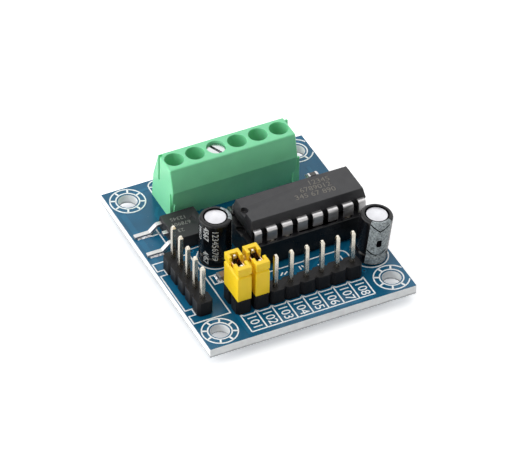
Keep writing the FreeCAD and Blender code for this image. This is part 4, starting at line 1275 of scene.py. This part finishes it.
def make_camera():
    """The camera at the photograph's angle."""
    azimuth, elevation, roll = CAMERA_AZIMUTH, CAMERA_ELEVATION, CAMERA_ROLL
    back = Vector((math.sin(azimuth) * math.cos(elevation), -math.cos(azimuth) * math.cos(elevation),
                   math.sin(elevation)))
    level = Vector((math.cos(azimuth), math.sin(azimuth), 0.0))
    upright = back.cross(level)
    right = math.cos(roll) * level + math.sin(roll) * upright
    up = -math.sin(roll) * level + math.cos(roll) * upright
    lens = bpy.data.cameras.new("camera")
    lens.lens = CAMERA_LENS
    lens.sensor_width = CAMERA_SENSOR
    lens.sensor_fit = "HORIZONTAL"
    lens.clip_start = CAMERA_NEAR
    lens.clip_end = CAMERA_FAR
    camera = bpy.data.objects.new("camera", lens)
    bpy.context.scene.collection.objects.link(camera)
    axes = Matrix((right, up, back)).transposed().to_4x4()
    camera.matrix_world = Matrix.Translation(CAMERA_TARGET + back * CAMERA_DISTANCE) @ axes
    bpy.context.scene.camera = camera


# Operators

class PieceOperator:
    """What the operators share: their options."""
    bl_options = {"REGISTER", "UNDO"}


class MODULE_OT_board(PieceOperator, Operator):
    """Finish the board and print its lines and numbers"""
    bl_idname = "module.board"
    bl_label = "Board and print"

    def execute(self, context):
        dress_board(context.scene.module_board)
        return {"FINISHED"}


class MODULE_OT_terminal(PieceOperator, Operator):
    """Dress the screw terminal"""
    bl_idname = "module.terminal"
    bl_label = "Screw terminal"

    def execute(self, context):
        dress_terminal(context.scene.module_terminal)
        return {"FINISHED"}


class MODULE_OT_chip(PieceOperator, Operator):
    """Dress the driver chip and its socket"""
    bl_idname = "module.chip"
    bl_label = "Driver chip and socket"

    def execute(self, context):
        dress_chip(context.scene.module_chip)
        return {"FINISHED"}


class MODULE_OT_capacitors(PieceOperator, Operator):
    """Dress the two capacitors"""
    bl_idname = "module.capacitors"
    bl_label = "Capacitors"

    def execute(self, context):
        dress_capacitors(context.scene.module_capacitors)
        return {"FINISHED"}


class MODULE_OT_regulator(PieceOperator, Operator):
    """Dress the regulator"""
    bl_idname = "module.regulator"
    bl_label = "Regulator"

    def execute(self, context):
        dress_regulator(context.scene.module_regulator)
        return {"FINISHED"}


class MODULE_OT_headers(PieceOperator, Operator):
    """Dress the pin headers"""
    bl_idname = "module.headers"
    bl_label = "Pin headers"

    def execute(self, context):
        dress_headers(context.scene.module_headers)
        return {"FINISHED"}


class MODULE_OT_jumpers(PieceOperator, Operator):
    """Dress the jumper caps"""
    bl_idname = "module.jumpers"
    bl_label = "Jumpers"

    def execute(self, context):
        dress_jumpers(context.scene.module_jumpers)
        return {"FINISHED"}


class MODULE_OT_chip_parts(PieceOperator, Operator):
    """Dress the small chip parts and the solder"""
    bl_idname = "module.chip_parts"
    bl_label = "Chip parts and solder"

    def execute(self, context):
        dress_chip_parts()
        return {"FINISHED"}


class MODULE_OT_stage(PieceOperator, Operator):
    """Set up the floor, the lamps and the camera"""
    bl_idname = "module.stage"
    bl_label = "Stage"

    def execute(self, context):
        looks = context.scene.module_stage
        context.scene.view_settings.view_transform = "Standard"
        make_floor()
        make_world(looks.sky)
        for side, (size, location) in SOFTBOXES.items():
            add_softbox(side + "_softbox", getattr(looks, side + "_light"), size, location)
        make_camera()
        return {"FINISHED"}


class MODULE_PT_sidebar(Panel):
    """Lists the module's steps in the sidebar"""
    bl_idname = "MODULE_PT_sidebar"
    bl_label = "Driver module"
    bl_space_type = "VIEW_3D"
    bl_region_type = "UI"
    bl_category = "Driver module"

    def draw(self, context):
        for step in OPERATORS:
            self.layout.operator(step.bl_idname)


GROUP_CLASSES = {
    "module_board": BoardLooks,
    "module_terminal": TerminalLooks,
    "module_chip": ChipLooks,
    "module_capacitors": CapacitorLooks,
    "module_regulator": RegulatorLooks,
    "module_headers": HeaderLooks,
    "module_jumpers": JumperLooks,
    "module_stage": StageLooks,
}
OPERATORS = (MODULE_OT_board, MODULE_OT_terminal, MODULE_OT_chip, MODULE_OT_capacitors, MODULE_OT_regulator,
             MODULE_OT_headers, MODULE_OT_jumpers, MODULE_OT_chip_parts, MODULE_OT_stage)


def register():
    """Registers the property groups, the operators and the panel."""
    for name, looks in GROUP_CLASSES.items():
        bpy.utils.register_class(looks)
        setattr(bpy.types.Scene, name, PointerProperty(type=looks))
    for step in OPERATORS:
        bpy.utils.register_class(step)
    bpy.utils.register_class(MODULE_PT_sidebar)


def unregister():
    """Removes what register added."""
    bpy.utils.unregister_class(MODULE_PT_sidebar)
    for step in reversed(OPERATORS):
        bpy.utils.unregister_class(step)
    for name, looks in GROUP_CLASSES.items():
        delattr(bpy.types.Scene, name)
        bpy.utils.unregister_class(looks)


def main():
    """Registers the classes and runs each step."""
    register()
    bpy.ops.module.board()
    bpy.ops.module.terminal()
    bpy.ops.module.chip()
    bpy.ops.module.capacitors()
    bpy.ops.module.regulator()
    bpy.ops.module.headers()
    bpy.ops.module.jumpers()
    bpy.ops.module.chip_parts()
    bpy.ops.module.stage()


if __name__ == "__main__":
    main()
